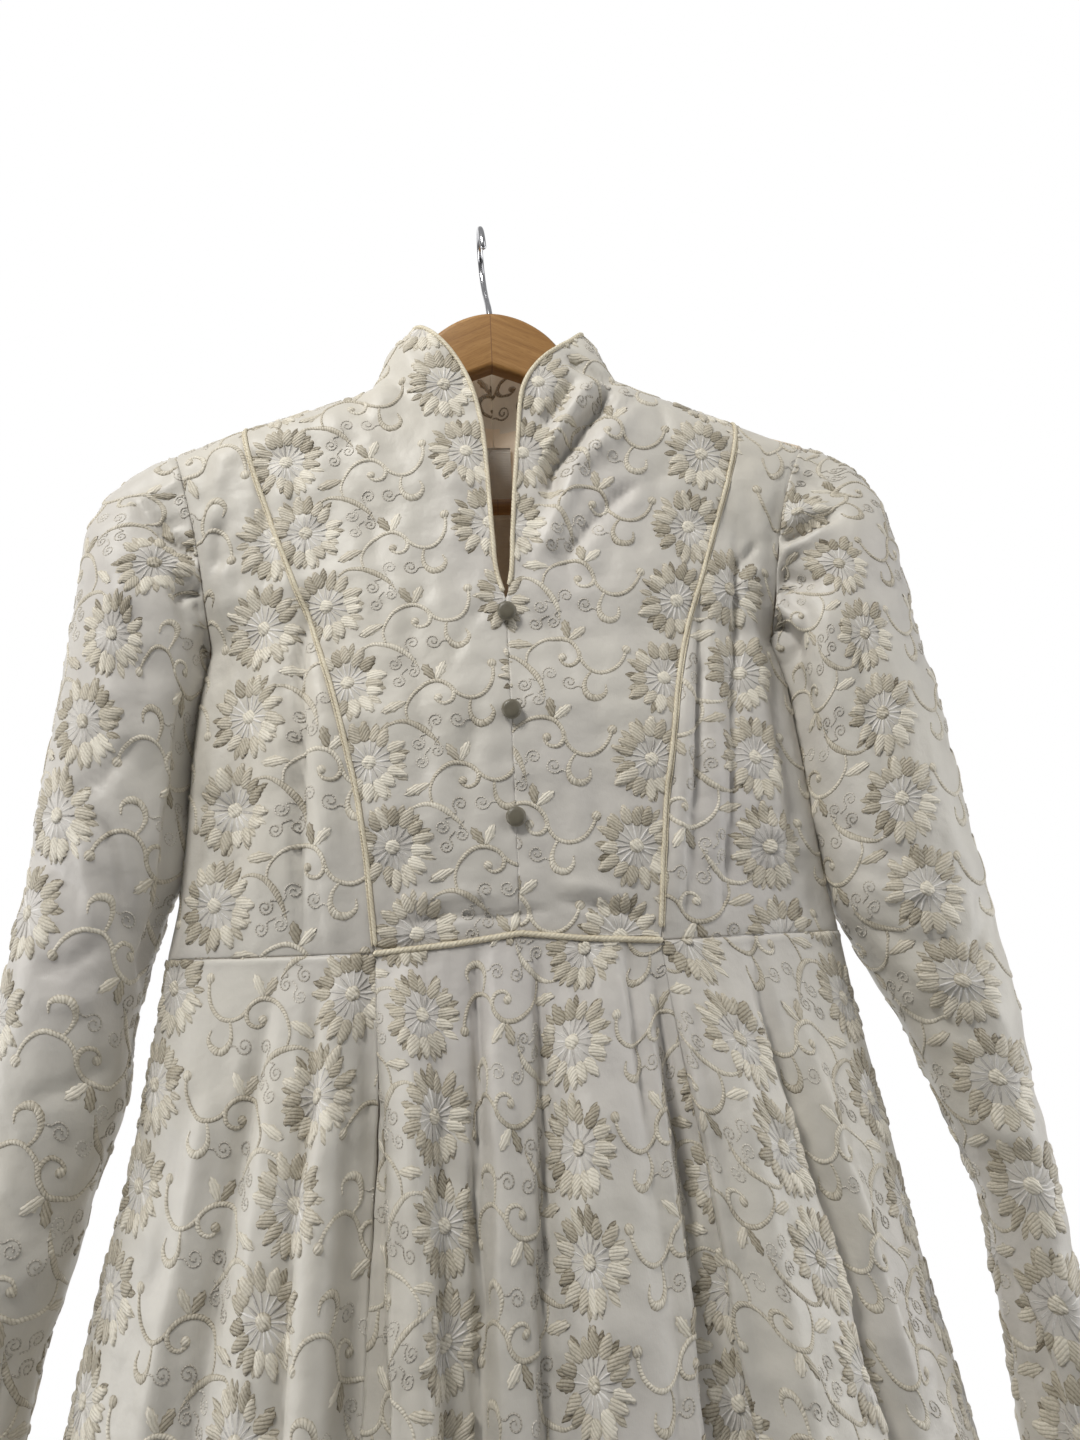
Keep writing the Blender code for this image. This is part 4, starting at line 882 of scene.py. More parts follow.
SKIRT_PANELS = {
    "skirt_front_centre": ("front", lambda d: seam_share(d, -1),
                           lambda d: seam_share(d, 1), 66),
    "skirt_front_left": ("front", lambda d: -1.0,
                         lambda d: seam_share(d, -1), 52),
    "skirt_front_right": ("front", lambda d: seam_share(d, 1),
                          lambda d: 1.0, 52),
    "skirt_back_left": ("back", lambda d: -1.0, lambda d: 0.0, 48),
    "skirt_back_right": ("back", lambda d: 0.0, lambda d: 1.0, 48),
}
for name, (face, lo, hi, count) in SKIRT_PANELS.items():
    p = skirt_surface(face, shares_between(lo, hi, count), SKIRT_DROPS)
    x, d = p[..., 0], -p[..., 2]
    disp = crease_field(x, d, SKIRT_FRONT if face == "front" else SKIRT_BACK)
    disp += ripple(p, 0.48, 5) * smooth((d - 470) / 60)
    half = np.where(x < 0, look(SKIRT, SKIRT_ROWS, "left", d),
                    look(SKIRT, SKIRT_ROWS, "right", d))
    disp *= smooth((1 - np.abs(x) / half) / 0.05)
    disp *= smooth((d - WAIST_DROP + 4) / 14)
    disp += 0.7 * np.exp(-((SKIRT_DROPS[:, None] - 464.2) / 1.9) ** 2)
    ones_r, ones_c = np.ones(p.shape[0]), np.ones(p.shape[1])
    cloth = Cloth(name, p, FRONT_OUT if face == "front" else BACK_OUT,
                  [("top", ones_c), ("start", ones_r), ("end", ones_r)], disp)
    # flat cut: run along each row from the middle, and down the middle
    run = run_in(cloth.p, 1)
    mid = p.shape[1] // 2
    v = run_in(cloth.p, 0)[:, mid]
    cloth.flat = np.stack([run - run[:, mid:mid + 1],
                           np.repeat(v[:, None], p.shape[1], 1)], -1)
    panels[name] = cloth

for side, word in ((-1, "left"), (1, "right")):
    t_fine = np.linspace(0, 14, 561)
    # rows closer together over the gathered head
    path = sleeve_surface(side, t_fine, [4.0])[:, 0]
    run = np.concatenate([[0], np.cumsum(
        np.linalg.norm(np.diff(path, axis=0), axis=1))])
    t = np.interp(np.concatenate([
        [0, 1.2, 3.2], np.arange(5.3, 112, 2.2),
        np.arange(114, run[-1] - 5, 4.4), run[-1] - np.array([3.2, 1.2, 0])]),
        run, t_fine)
    # starts at the underarm seam, goes round the back, finer in front
    v = np.concatenate([8 + np.arange(20) * 8 / 20,
                        16 + np.arange(30) * 4.2 / 30,
                        20.2 + np.arange(38) * 3.8 / 38])
    p = sleeve_surface(side, t, v)
    centre = p.mean(1, keepdims=True)
    x, d = p[..., 0], -p[..., 2]
    near = p[..., 1] <= 0
    disp = np.where(near, crease_field(x, d, SLEEVE_FRONT[side])
                    + step_field(x, d, SLEEVE_STEP[side]),
                    crease_field(x, d, SLEEVE_BACK[side]))
    rim = 39.0 * np.abs(np.sin(math.pi * v / 8))[None]
    disp = disp * smooth((rim + 3) / 14) + ripple(p, 0.42, 9)
    # small gathers where the sleeve's head is eased into the armhole
    head = np.exp(-((t - 0.9) / 0.9) ** 2)[:, None]
    turn = (v % 16)[None]
    reach = smooth((6.0 - np.minimum(turn, 16 - turn)) / 2)
    disp += 0.5 * head * reach * np.sin(turn * 2 * math.pi / 1.07
                                        + 0.7 * np.sin(turn * 3.1))
    disp *= smooth(t / 0.28)[:, None]
    cloth = Cloth("sleeve_" + word, p, p - centre,
                  [("top", np.ones(len(v)))], disp, closed=True)
    run = run_in(np.concatenate([cloth.p, cloth.p[:, :1]], 1), 1)
    mid = int(np.argmin(np.abs((v % 16) - 4)))
    down = run_in(np.concatenate([cloth.p, cloth.p[:, :1]], 1), 0)
    ref = int(np.argmin(np.abs(t - 7)))
    u = run - run[:, mid:mid + 1]
    u *= -1 if side * (u[ref, mid + 3] - u[ref, mid]) * side \
        * np.sign(p[ref, mid + 3, 0] - p[ref, mid, 0]) < 0 else 1
    cloth.flat = np.stack([u, down - down[ref:ref + 1]
                           + down[ref, mid]], -1)
    panels["sleeve_" + word] = cloth


# ------------------------------------------------------------------- meshes
def new_mesh(name, verts, faces, uvs=None, values=None, face_mat=None):
    """Mesh from arrays of points (mm) and of faces with equal corners."""
    verts, faces = np.asarray(verts, float), np.asarray(faces)
    sides = faces.shape[1]
    me = bpy.data.meshes.new(name)
    me.vertices.add(len(verts))
    me.vertices.foreach_set("co", (verts * MM).astype(np.float32).ravel())
    me.loops.add(faces.size)
    me.loops.foreach_set("vertex_index", faces.astype(np.int32).ravel())
    me.polygons.add(len(faces))
    me.polygons.foreach_set("loop_start", np.arange(
        0, faces.size, sides, dtype=np.int32))
    me.polygons.foreach_set("use_smooth", np.ones(len(faces), bool))
    if face_mat is not None:
        me.polygons.foreach_set("material_index",
                                np.asarray(face_mat, np.int32))
    me.update(calc_edges=True)
    for key, per_vert in (uvs or {}).items():
        layer = me.uv_layers.new(name=key)
        flat = np.asarray(per_vert, np.float32)
        if len(flat) == len(verts):
            flat = flat[faces.ravel()]
        layer.data.foreach_set("uv", flat.ravel())
    for key, per_vert in (values or {}).items():
        layer = me.attributes.new(key, "FLOAT", "POINT")
        layer.data.foreach_set("value", np.asarray(per_vert, np.float32))
    me.validate()
    return me


def add(name, mesh, mats, body="dress", replaces=()):
    obj = bpy.data.objects.new(name, mesh)
    for m in mats if isinstance(mats, (list, tuple)) else [mats]:
        mesh.materials.append(m)
    bpy.context.scene.collection.objects.link(obj)
    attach(obj, body)
    if replaces:
        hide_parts(*replaces)
    return obj


def shell(cloth):
    """Outer face, inner face and the rims between them."""
    rows, cols = cloth.p.shape[:2]
    count = rows * cols
    outer = cloth.p.reshape(-1, 3)
    inner = outer - cloth.n.reshape(-1, 3) * SHELL
    idx = np.arange(count).reshape(rows, cols)
    if cloth.closed:
        idx = np.concatenate([idx, idx[:, :1]], 1)
    a, b = idx[:-1, :-1].ravel(), idx[:-1, 1:].ravel()
    c, d = idx[1:, 1:].ravel(), idx[1:, :-1].ravel()
    face = np.stack([a, d, c, b], 1)
    # turn the faces so that they look along the outward normals
    k = (rows // 2) * (idx.shape[1] - 1) + idx.shape[1] // 3
    q = outer[face[k]]
    if np.dot(np.cross(q[1] - q[0], q[2] - q[0]),
              cloth.n.reshape(-1, 3)[face[k][0]]) < 0:
        face = face[:, ::-1]
    flipped = not np.array_equal(face[0], [a[0], d[0], c[0], b[0]])

    def rim(ring):
        p, q = ring[:-1], ring[1:]
        f = np.stack([p, q, q + count, p + count], 1)
        return f[:, ::-1] if flipped else f
    rims = [rim(idx[0]), rim(idx[-1][::-1])]
    if not cloth.closed:
        rims += [rim(idx[::-1, 0]), rim(idx[:, -1])]
    rims = np.concatenate(rims)
    faces = np.concatenate([face, face[:, ::-1] + count, rims])
    inside_mat = np.ones(len(face))
    if cloth.name.startswith("back"):       # the collar's facing
        # these inside faces take the glowing facing: painted light
        inside_mat[outer[face[:, 0], 2] > -124] = 2
    mat = np.concatenate([np.zeros(len(face)), inside_mat,
                          np.zeros(len(rims))])
    flat = cloth.flat[:, :cols].reshape(-1, 2)
    return (np.concatenate([outer, inner]), faces, mat,
            np.concatenate([flat, flat]) * 0.01)


# ---------------------------------------------------------------- materials
def nodes_of(name):
    m = bpy.data.materials.new(name)
    m.use_nodes = True
    return m, m.node_tree, m.node_tree.nodes["Principled BSDF"]


def put(tree, kind, **values):
    node = tree.nodes.new(kind)
    for key, value in values.items():
        if key.startswith("in_"):
            k = key[3:]
            node.inputs[int(k) if k.isdigit() else k].default_value = value
        else:
            setattr(node, key, value)
    return node


def ramp(tree, source, stops):
    node = tree.nodes.new("ShaderNodeValToRGB")
    while len(node.color_ramp.elements) < len(stops):
        node.color_ramp.elements.new(0.5)
    for e, (at, colour) in zip(node.color_ramp.elements, stops):
        e.position, e.color = at, (*colour, 1)
    tree.links.new(source, node.inputs[0])
    return node.outputs[0]


def blend(tree, factor, a, b, mode="MIX"):
    node = put(tree, "ShaderNodeMix", data_type="RGBA", blend_type=mode)
    for socket, value in ((node.inputs[0], factor), (node.inputs[6], a),
                          (node.inputs[7], b)):
        if isinstance(value, (float, tuple)):
            socket.default_value = (*value, 1) if isinstance(
                value, tuple) else value
        else:
            tree.links.new(value, socket)
    return node.outputs[2]


def math_node(tree, op, a, b=None, c=None):
    node = put(tree, "ShaderNodeMath", operation=op)
    for socket, value in zip(node.inputs, (a, b, c)):
        if value is None:
            continue
        if isinstance(value, (float, int)):
            socket.default_value = value
        else:
            tree.links.new(value, socket)
    return node.outputs[0]


def noise(tree, vector, scale, detail=2.0, rough=0.5, distort=0.0):
    node = put(tree, "ShaderNodeTexNoise", in_Scale=scale, in_Detail=detail,
               in_Roughness=rough, in_Distortion=distort)
    tree.links.new(vector, node.inputs["Vector"])
    return node.outputs["Fac"]


def bump(tree, height, distance, strength=1.0, before=None):
    node = put(tree, "ShaderNodeBump", in_Strength=strength,
               in_Distance=distance)
    tree.links.new(height, node.inputs["Height"])
    if before is not None:
        tree.links.new(before, node.inputs["Normal"])
    return node.outputs[0]


def link(tree, source, shader, key):
    tree.links.new(source, shader.inputs[key])


def satin(name, painted_glow=0.0):
    m, tree, s = nodes_of(name)
    where = put(tree, "ShaderNodeTexCoord").outputs["Object"]
    uv = put(tree, "ShaderNodeUVMap", uv_map="Cut").outputs[0]
    tint = noise(tree, where, 5.0, 3.0)
    colour = ramp(tree, tint, [(0.30, (0.605, 0.575, 0.540)),
                               (0.52, (0.630, 0.602, 0.540)),
                               (0.72, (0.640, 0.600, 0.518))])
    mottle = noise(tree, where, 45.0, 4.0, 0.6)
    shade = ramp(tree, mottle, [(0.3, (0.93, 0.93, 0.935)),
                                (0.7, (1.0, 1.0, 1.0))])
    link(tree, blend(tree, 1.0, colour, shade, "MULTIPLY"), s, "Base Color")
    rough = noise(tree, where, 60.0, 2.0)
    link(tree, math_node(tree, "MULTIPLY_ADD", rough, 0.12, 0.42), s,
         "Roughness")
    s.inputs["Specular IOR Level"].default_value = 0.46
    s.inputs["Sheen Weight"].default_value = 0.08
    s.inputs["Sheen Roughness"].default_value = 0.4
    # painted light: a warm glow stands in for light that comes through the collar's
    # back from behind
    s.inputs["Emission Color"].default_value = (1.0, 0.80, 0.58, 1)
    s.inputs["Emission Strength"].default_value = painted_glow
    # pulls around the stitching, then the weave of the satin
    pull = noise(tree, where, 52.0, 2.0, 0.45)
    fine = noise(tree, where, 330.0, 2.0, 0.5)
    stretch = put(tree, "ShaderNodeMapping", in_Scale=(260.0, 30.0, 1.0))
    tree.links.new(uv, stretch.inputs[0])
    weave = put(tree, "ShaderNodeTexNoise", in_Scale=1.0, in_Detail=1.0)
    tree.links.new(stretch.outputs[0], weave.inputs["Vector"])
    n = bump(tree, pull, 0.0020, 0.75)
    n = bump(tree, fine, 0.00028, 0.6, n)
    n = bump(tree, weave.outputs["Fac"], 0.00008, 0.7, n)
    link(tree, n, s, "Normal")
    return m


def lining(name, painted_glow=0.0):
    m, tree, s = nodes_of(name)
    where = put(tree, "ShaderNodeTexCoord").outputs["Object"]
    tint = noise(tree, where, 22.0, 4.0)
    link(tree, ramp(tree, tint, [(0.3, (0.63, 0.545, 0.44)),
                                 (0.7, (0.75, 0.68, 0.575))]), s,
         "Base Color")
    s.inputs["Roughness"].default_value = 0.7
    s.inputs["Sheen Weight"].default_value = 0.15
    # painted light: a warm glow stands in for light that comes through the back's
    # cloth from behind
    s.inputs["Emission Color"].default_value = (1.0, 0.72, 0.46, 1)
    s.inputs["Emission Strength"].default_value = painted_glow
    fine = noise(tree, where, 240.0, 3.0)
    link(tree, bump(tree, fine, 0.0004, 0.8), s, "Normal")
    return m


def thread(name, shades, period, lift, gloss=0.48, pale=None, stripe_shading=0.42):
    """Satin stitch: rows of thread side by side, over an uneven colour level, with
    painted shade in the gaps between rows and painted highlight on their crowns.
    """
    m, tree, s = nodes_of(name)
    uv = put(tree, "ShaderNodeUVMap", uv_map="Stitch").outputs[0]
    where = put(tree, "ShaderNodeTexCoord").outputs["Object"]
    # this attribute holds a random colour level together with painted shade and light:
    # darker sunk edges, lighter tops, petals shaded by direction
    tone = put(tree, "ShaderNodeAttribute", attribute_name="tone")
    split = put(tree, "ShaderNodeSeparateXYZ")
    tree.links.new(uv, split.inputs[0])
    wobble = noise(tree, where, 420.0, 2.0)
    phase = math_node(tree, "MULTIPLY_ADD", split.outputs[1],
                      2 * math.pi / period, 0.0)
    phase = math_node(tree, "ADD", phase,
                      math_node(tree, "MULTIPLY", wobble, 3.4))
    # painted shade and highlight: darker in the gaps between thread rows, lighter on
    # their crowns
    gap = math_node(tree, "MULTIPLY_ADD",
                    math_node(tree, "SINE", phase), -0.5, 0.5)
    ridge = math_node(tree, "SUBTRACT", 1.0, math_node(
        tree, "POWER", gap, 2.2))
    patch = noise(tree, where, 230.0, 2.0)
    grainy = noise(tree, where, 800.0, 2.0)
    level = math_node(tree, "ADD", tone.outputs["Fac"], math_node(
        tree, "MULTIPLY", math_node(tree, "MULTIPLY_ADD", ridge, stripe_shading,
                                    -0.7 * stripe_shading), patch))
    level = math_node(tree, "ADD", level, math_node(
        tree, "MULTIPLY_ADD", grainy, 0.50, -0.25))
    at = [0.04, 0.34, 0.64, 0.94]
    colour = ramp(tree, level, list(zip(at, shades)))
    if pale:
        share = put(tree, "ShaderNodeAttribute", attribute_name="pale")
        colour = blend(tree, share.outputs["Fac"], colour,
                       ramp(tree, level, list(zip(at, pale))))
    link(tree, colour, s, "Base Color")
    s.inputs["Roughness"].default_value = gloss
    s.inputs["Specular IOR Level"].default_value = 0.45
    s.inputs["Sheen Weight"].default_value = 0.08
    s.inputs["Anisotropic"].default_value = 0.4
    tangent = put(tree, "ShaderNodeTangent", direction_type="UV_MAP",
                  uv_map="Stitch")
    tree.links.new(tangent.outputs[0], s.inputs["Tangent"])
    link(tree, bump(tree, ridge, lift, 1.0), s, "Normal")
    return m


SATIN = satin("dress_satin")
# a glowing copy of the satin for the collar's facing: painted light
GLOWING_FACING = satin("collar_facing_painted_glow", 0.10)
LINING = lining("lining_side")
# a glowing copy of the lining for the back: painted light
LINING_GLOWING = lining("lining_back_painted_glow", 0.11)
STITCH = thread("embroidery_thread",
                [(0.165, 0.138, 0.094), (0.385, 0.342, 0.26),
                 (0.575, 0.526, 0.428), (0.765, 0.718, 0.61)], 1.55, 0.00019,
                pale=[(0.20, 0.175, 0.15), (0.43, 0.405, 0.37),
                      (0.62, 0.595, 0.555), (0.81, 0.785, 0.745)])
CORD = thread("piping_cord",
              [(0.27, 0.215, 0.13), (0.50, 0.43, 0.30),
               (0.66, 0.595, 0.45), (0.80, 0.74, 0.585)], 1.7, 0.00014, 0.5,
              stripe_shading=0.3)


def covered():
    m, tree, s = nodes_of("button_satin")
    where = put(tree, "ShaderNodeTexCoord").outputs["Object"]
    tint = noise(tree, where, 180.0, 3.0)
    link(tree, ramp(tree, tint, [(0.3, (0.118, 0.105, 0.074)),
                                 (0.7, (0.160, 0.144, 0.106))]), s,
         "Base Color")
    s.inputs["Roughness"].default_value = 0.38
    s.inputs["Sheen Weight"].default_value = 0.3
    s.inputs["Sheen Tint"].default_value = (1.0, 0.95, 0.8, 1)
    weave = noise(tree, where, 2200.0, 1.0)
    link(tree, bump(tree, weave, 0.00012, 0.8), s, "Normal")
    return m


def wood():
    m, tree, s = nodes_of("hanger_beech")
    uv = put(tree, "ShaderNodeUVMap", uv_map="Grain").outputs[0]
    long_way = put(tree, "ShaderNodeMapping", in_Scale=(0.012, 0.28, 1.0))
    tree.links.new(uv, long_way.inputs[0])
    grain = put(tree, "ShaderNodeTexNoise", in_Scale=1.0, in_Detail=5.0,
                in_Roughness=0.6, in_Distortion=0.35)
    tree.links.new(long_way.outputs[0], grain.inputs["Vector"])
    flecks = put(tree, "ShaderNodeMapping", in_Scale=(0.16, 1.7, 1.0))
    tree.links.new(uv, flecks.inputs[0])
    fleck = put(tree, "ShaderNodeTexNoise", in_Scale=1.0, in_Detail=2.0)
    tree.links.new(flecks.outputs[0], fleck.inputs["Vector"])
    base = ramp(tree, grain.outputs["Fac"],
                [(0.28, (0.27, 0.130, 0.035)), (0.5, (0.345, 0.177, 0.052)),
                 (0.72, (0.43, 0.236, 0.080))])
    spots = ramp(tree, fleck.outputs["Fac"],
                 [(0.36, (0.72, 0.66, 0.60)), (0.46, (1.0, 1.0, 1.0))])
    colour = blend(tree, 0.55, base, spots, "MULTIPLY")
    # the mitre where the two arms are glued
    where = put(tree, "ShaderNodeTexCoord").outputs["Object"]
    split = put(tree, "ShaderNodeSeparateXYZ")
    tree.links.new(where, split.inputs[0])
    edge = math_node(tree, "LESS_THAN", math_node(
        tree, "ABSOLUTE", split.outputs[0]), 0.0003)
    colour = blend(tree, math_node(tree, "MULTIPLY", edge, 0.7), colour,
                   (0.16, 0.07, 0.025))
    link(tree, colour, s, "Base Color")
    s.inputs["Roughness"].default_value = 0.4
    s.inputs["Coat Weight"].default_value = 0.25
    s.inputs["Coat Roughness"].default_value = 0.25
    link(tree, bump(tree, grain.outputs["Fac"], 0.0003, 0.5), s, "Normal")
    return m


def steel(name, colour, rough):
    m, tree, s = nodes_of(name)
    where = put(tree, "ShaderNodeTexCoord").outputs["Object"]
    scuff = noise(tree, where, 400.0, 3.0)
    link(tree, ramp(tree, scuff, [(0.3, tuple(c * 0.9 for c in colour)),
                                  (0.7, colour)]), s, "Base Color")
    s.inputs["Metallic"].default_value = 1.0
    s.inputs["Roughness"].default_value = rough
    link(tree, bump(tree, scuff, 0.00003, 0.3), s, "Normal")
    return m


def tape_cloth():
    m, tree, s = nodes_of("zip_tape_cloth")
    where = put(tree, "ShaderNodeTexCoord").outputs["Object"]
    tint = noise(tree, where, 90.0, 2.0)
    link(tree, ramp(tree, tint, [(0.3, (0.72, 0.69, 0.62)),
                                 (0.7, (0.84, 0.81, 0.74))]), s, "Base Color")
    s.inputs["Roughness"].default_value = 0.75
    ribs = put(tree, "ShaderNodeTexWave", in_Scale=260.0, in_Distortion=0.6,
               bands_direction="Z")
    tree.links.new(where, ribs.inputs["Vector"])
    link(tree, bump(tree, ribs.outputs["Fac"], 0.0002, 0.7), s, "Normal")
    return m


BUTTON = covered()
WOOD = wood()
CHROME = steel("hook_chrome", (0.62, 0.62, 0.64), 0.16)
ZIP_STEEL = steel("zip_metal", (0.72, 0.72, 0.71), 0.3)
TAPE = tape_cloth()
NYLON = steel("zip_teeth", (0.80, 0.79, 0.74), 0.4)
NYLON.node_tree.nodes["Principled BSDF"].inputs["Metallic"].default_value = 0.0


# --------------------------------------------------------------- embroidery
REPEAT, ACROSS = 48.4, 105.0    # down a flower column, and between columns


class Motif:
    """Stitched relief in the flat: points, heights, threads, and a colour level that
    carries painted shade and light.
    """

    def __init__(self):
        self.parts = []

    def piece(self, verts, heights, theta, faces, lay=None, way=None,
              tone=0.0, pale=0.0):
        verts = np.asarray(verts, float)
        n = len(verts)

        def each(value):
            return np.broadcast_to(np.asarray(value, float), (n,)).copy()
        th = each(theta)
        if lay is None:
            c, s = np.cos(th), np.sin(th)
            lay = np.stack([verts[:, 0] * c + verts[:, 1] * s,
                            -verts[:, 0] * s + verts[:, 1] * c], -1)
        base = sum(len(p[0]) for p in self.parts)
        self.parts.append((
            verts, each(heights), each(theta if way is None else way),
            np.asarray(lay, float), np.asarray(faces) + base,
            np.full(n, len(self.parts)), each(tone), each(pale)))

    def done(self):
        (self.v, self.h, self.way, self.uv, self.f, self.item, self.tone,
         self.pale) = (np.concatenate(p) for p in zip(*self.parts))
        self.items = len(self.parts)
        return self


def strip_faces(rows, across):
    f = []
    for i in range(rows - 1):
        for j in range(across - 1):
            a, b = i * across + j, i * across + j + 1
            c, d = a + across, b + across
            f += [(a, b, d), (a, d, c)]
    return f


def polar(r, a):
    return np.array([r * math.cos(a), r * math.sin(a)])


def slanted(a):
    """Stitches lie at about half a petal's angle, so they turn slowly."""
    a = (a + math.pi / 2) % math.pi - math.pi / 2
    return a * 0.5


def petal(m, at, angle, length, width, lift, theta, steps, rng, tone=0.0,
          waist=0.5, pale=0.0, flat_top=True):
    """A pointed, padded petal or leaf, from its base outwards."""
    across = ([(-1, 0.0), (-0.64, 0.84), (0, 1.0), (0.64, 0.84), (1, 0.0)]
              if steps >= 6 and flat_top
              else [(-1, 0.0), (0, 1.0), (1, 0.0)])
    k = len(across)
    # painted shade: the base, the sunk edges and the tip are darker, and the raised
    # top lightens a little towards the tip
    pts, hs, tones_and_shades = [(0, 0)], [0.2 * lift], [tone - 0.15]
    for i, p in enumerate(np.linspace(0.08, 0.93, steps) if steps > 3
                          else np.linspace(0.2, 0.8, steps)):
        w = width / 2 * min(1, waist + 1.5 * p) * (1 - p ** 2.9) ** 0.82
        for a, h in across:
            rough = 0.0
            if steps >= 6 and flat_top and abs(a) == 1:  # stitched edge
                rough = (0.34 if i % 2 else -0.26) + rng.normal() * 0.18
            pts.append((p * length + rough * 0.6, a * (w + rough)))
            hs.append(lift * h * (0.45 + 0.55 * smooth(p * 1.25)
                                  - 0.3 * smooth((p - 0.8) * 5))
                      if h else -0.12)
            tones_and_shades.append(tone + (0.06 * p if h else -0.24))
    pts.append((length, 0))
    hs.append(-0.05)
    tones_and_shades.append(tone - 0.3)
    f = [(0, 1 + j + 1, 1 + j) for j in range(k - 1)]
    for i in range(steps - 1):
        for j in range(k - 1):
            a = 1 + i * k + j
            f += [(a, a + 1, a + 1 + k), (a, a + 1 + k, a + k)]
    last, end = 1 + (steps - 1) * k, 1 + steps * k
    f += [(last + j, last + j + 1, end) for j in range(k - 1)]
    pts = np.array(pts)
    c, s = math.cos(angle), math.sin(angle)
    pts = np.stack([at[0] + pts[:, 0] * c - pts[:, 1] * s,
                    at[1] + pts[:, 0] * s + pts[:, 1] * c], -1)
    m.piece(pts, hs, theta, f, way=angle, tone=tones_and_shades, pale=pale)


def curve_points(pts, count):
    """Even points on a smooth curve through pts."""
    pts = np.asarray(pts, float)
    dense = catmull(pts[:, None, :], np.linspace(0, len(pts) - 1, 12 * len(pts)))[:, 0]
    run = np.concatenate([[0], np.cumsum(
        np.linalg.norm(np.diff(dense, axis=0), axis=1))])
    at = np.linspace(0, run[-1], count)
    return np.stack([np.interp(at, run, dense[:, k]) for k in (0, 1)], -1), at


def vine(m, pts, widths, lift, count, slant=1.2, fine=True, tone=0.0,
         pale=0.0, rng=None):
    """A raised line of slanted stitches, tapered by widths."""
    path, run = curve_points(pts, count)
    way = unit(np.gradient(path, axis=0))
    side = np.stack([-way[:, 1], way[:, 0]], -1)
    w = np.interp(np.linspace(0, 1, count), np.linspace(0, 1, len(widths)),
                  widths)
    across = [(-1, 0.0), (-0.5, 1.0), (0.5, 1.0), (1, 0.0)] if fine \
        else [(-1, 0.0), (0, 1.0), (1, 0.0)]
    k = len(across)
    # each stitch bulges a little beyond the next
    knot = 1 + (0.05 * np.cos(np.arange(count) * math.pi) if fine else 0)
    verts = np.stack([path + side * (w * knot * a / 2)[:, None]
                      for a, _ in across], 1).reshape(-1, 2)
    high = np.concatenate([[
        lift * max(0.45, w[i] / max(widths)) * h if h else -0.12
        for _, h in across] for i in range(count)])
    turned_to = np.arctan2(way[:, 1], way[:, 0])
    # stitches counted along the line, so that they turn with it
    a = np.tile([x for x, _ in across], count) * np.repeat(w, k) / 2
    r = np.repeat(run, k)
    c, s = math.cos(slant), math.sin(slant)
    lay = np.stack([r * c + a * s, -r * s + a * c], -1)
    # painted shade: the sunk edges are darker, over a random colour level
    shade = np.tile([0.05 if h else -0.3 for _, h in across], count) + tone
    if rng is not None:
        shade = shade + rng.normal(size=len(shade)) * 0.08
    m.piece(verts, high, np.repeat(turned_to, k) + slant,
            strip_faces(count, k), lay=lay, way=0.7, tone=shade, pale=pale)


def dome(m, at, radius, lift, theta, sides=8, inner=0.55, tone=0.1,
         rng=None):
    """A knot of thread; with a random source, a rough yarn disc."""
    a = np.arange(sides) * 2 * math.pi / sides + 0.3
    ring = np.stack([np.cos(a), np.sin(a)], -1)
    # painted shade and light: the sunk rim is darker and, on a yarn disc, the raised
    # top is lighter
    shares = [(inner, 0.88, 0.0), (1.0, 0.0, -0.3)]
    if rng is not None:
        shares = [(0.36, 1.0, 0.1), (0.72, 0.86, 0.0), (1.0, 0.0, -0.3)]
    pts, hs, tones_and_shades = [np.array(at, float)[None]], [[lift]], [[tone]]
    for r, h, t in shares:
        jig = rng.normal(size=sides) if rng is not None else np.zeros(sides)
        pts.append(at + ring * radius * (r + 0.05 * jig[:, None]))
        hs.append(lift * h * (1 + 0.16 * jig) if h
                  else np.full(sides, -0.12))
        tones_and_shades.append(np.full(sides, tone + t) + 0.12 * jig)
    f = [(0, 1 + j, 1 + (j + 1) % sides) for j in range(sides)]
    for i in range(len(shares) - 1):
        for j in range(sides):
            k, b = (j + 1) % sides, 1 + i * sides
            f += [(b + j, b + sides + j, b + sides + k),
                  (b + j, b + sides + k, b + k)]
    m.piece(np.concatenate(pts), np.concatenate(hs), theta, f, way=0.7,
            tone=np.concatenate(tones_and_shades))


def spiral(m, at, radius, start, turns, sense, tail, fine, width=1.1,
           lift=0.6):
    """A thin line that winds in, with a short tail from where it starts."""
    n = 17 if fine else 7
    a = start + sense * np.linspace(0, turns * 2 * math.pi, n)
    r = radius * np.linspace(1, 0.2, n)
    pts = np.stack([at[0] + r * np.cos(a), at[1] + r * np.sin(a)], -1)
    pts = np.concatenate([[tail], pts])
    vine(m, pts, [width, width, width * 0.9], lift, 23 if fine else 9, 1.57,
         False, 0.02, 0.5)


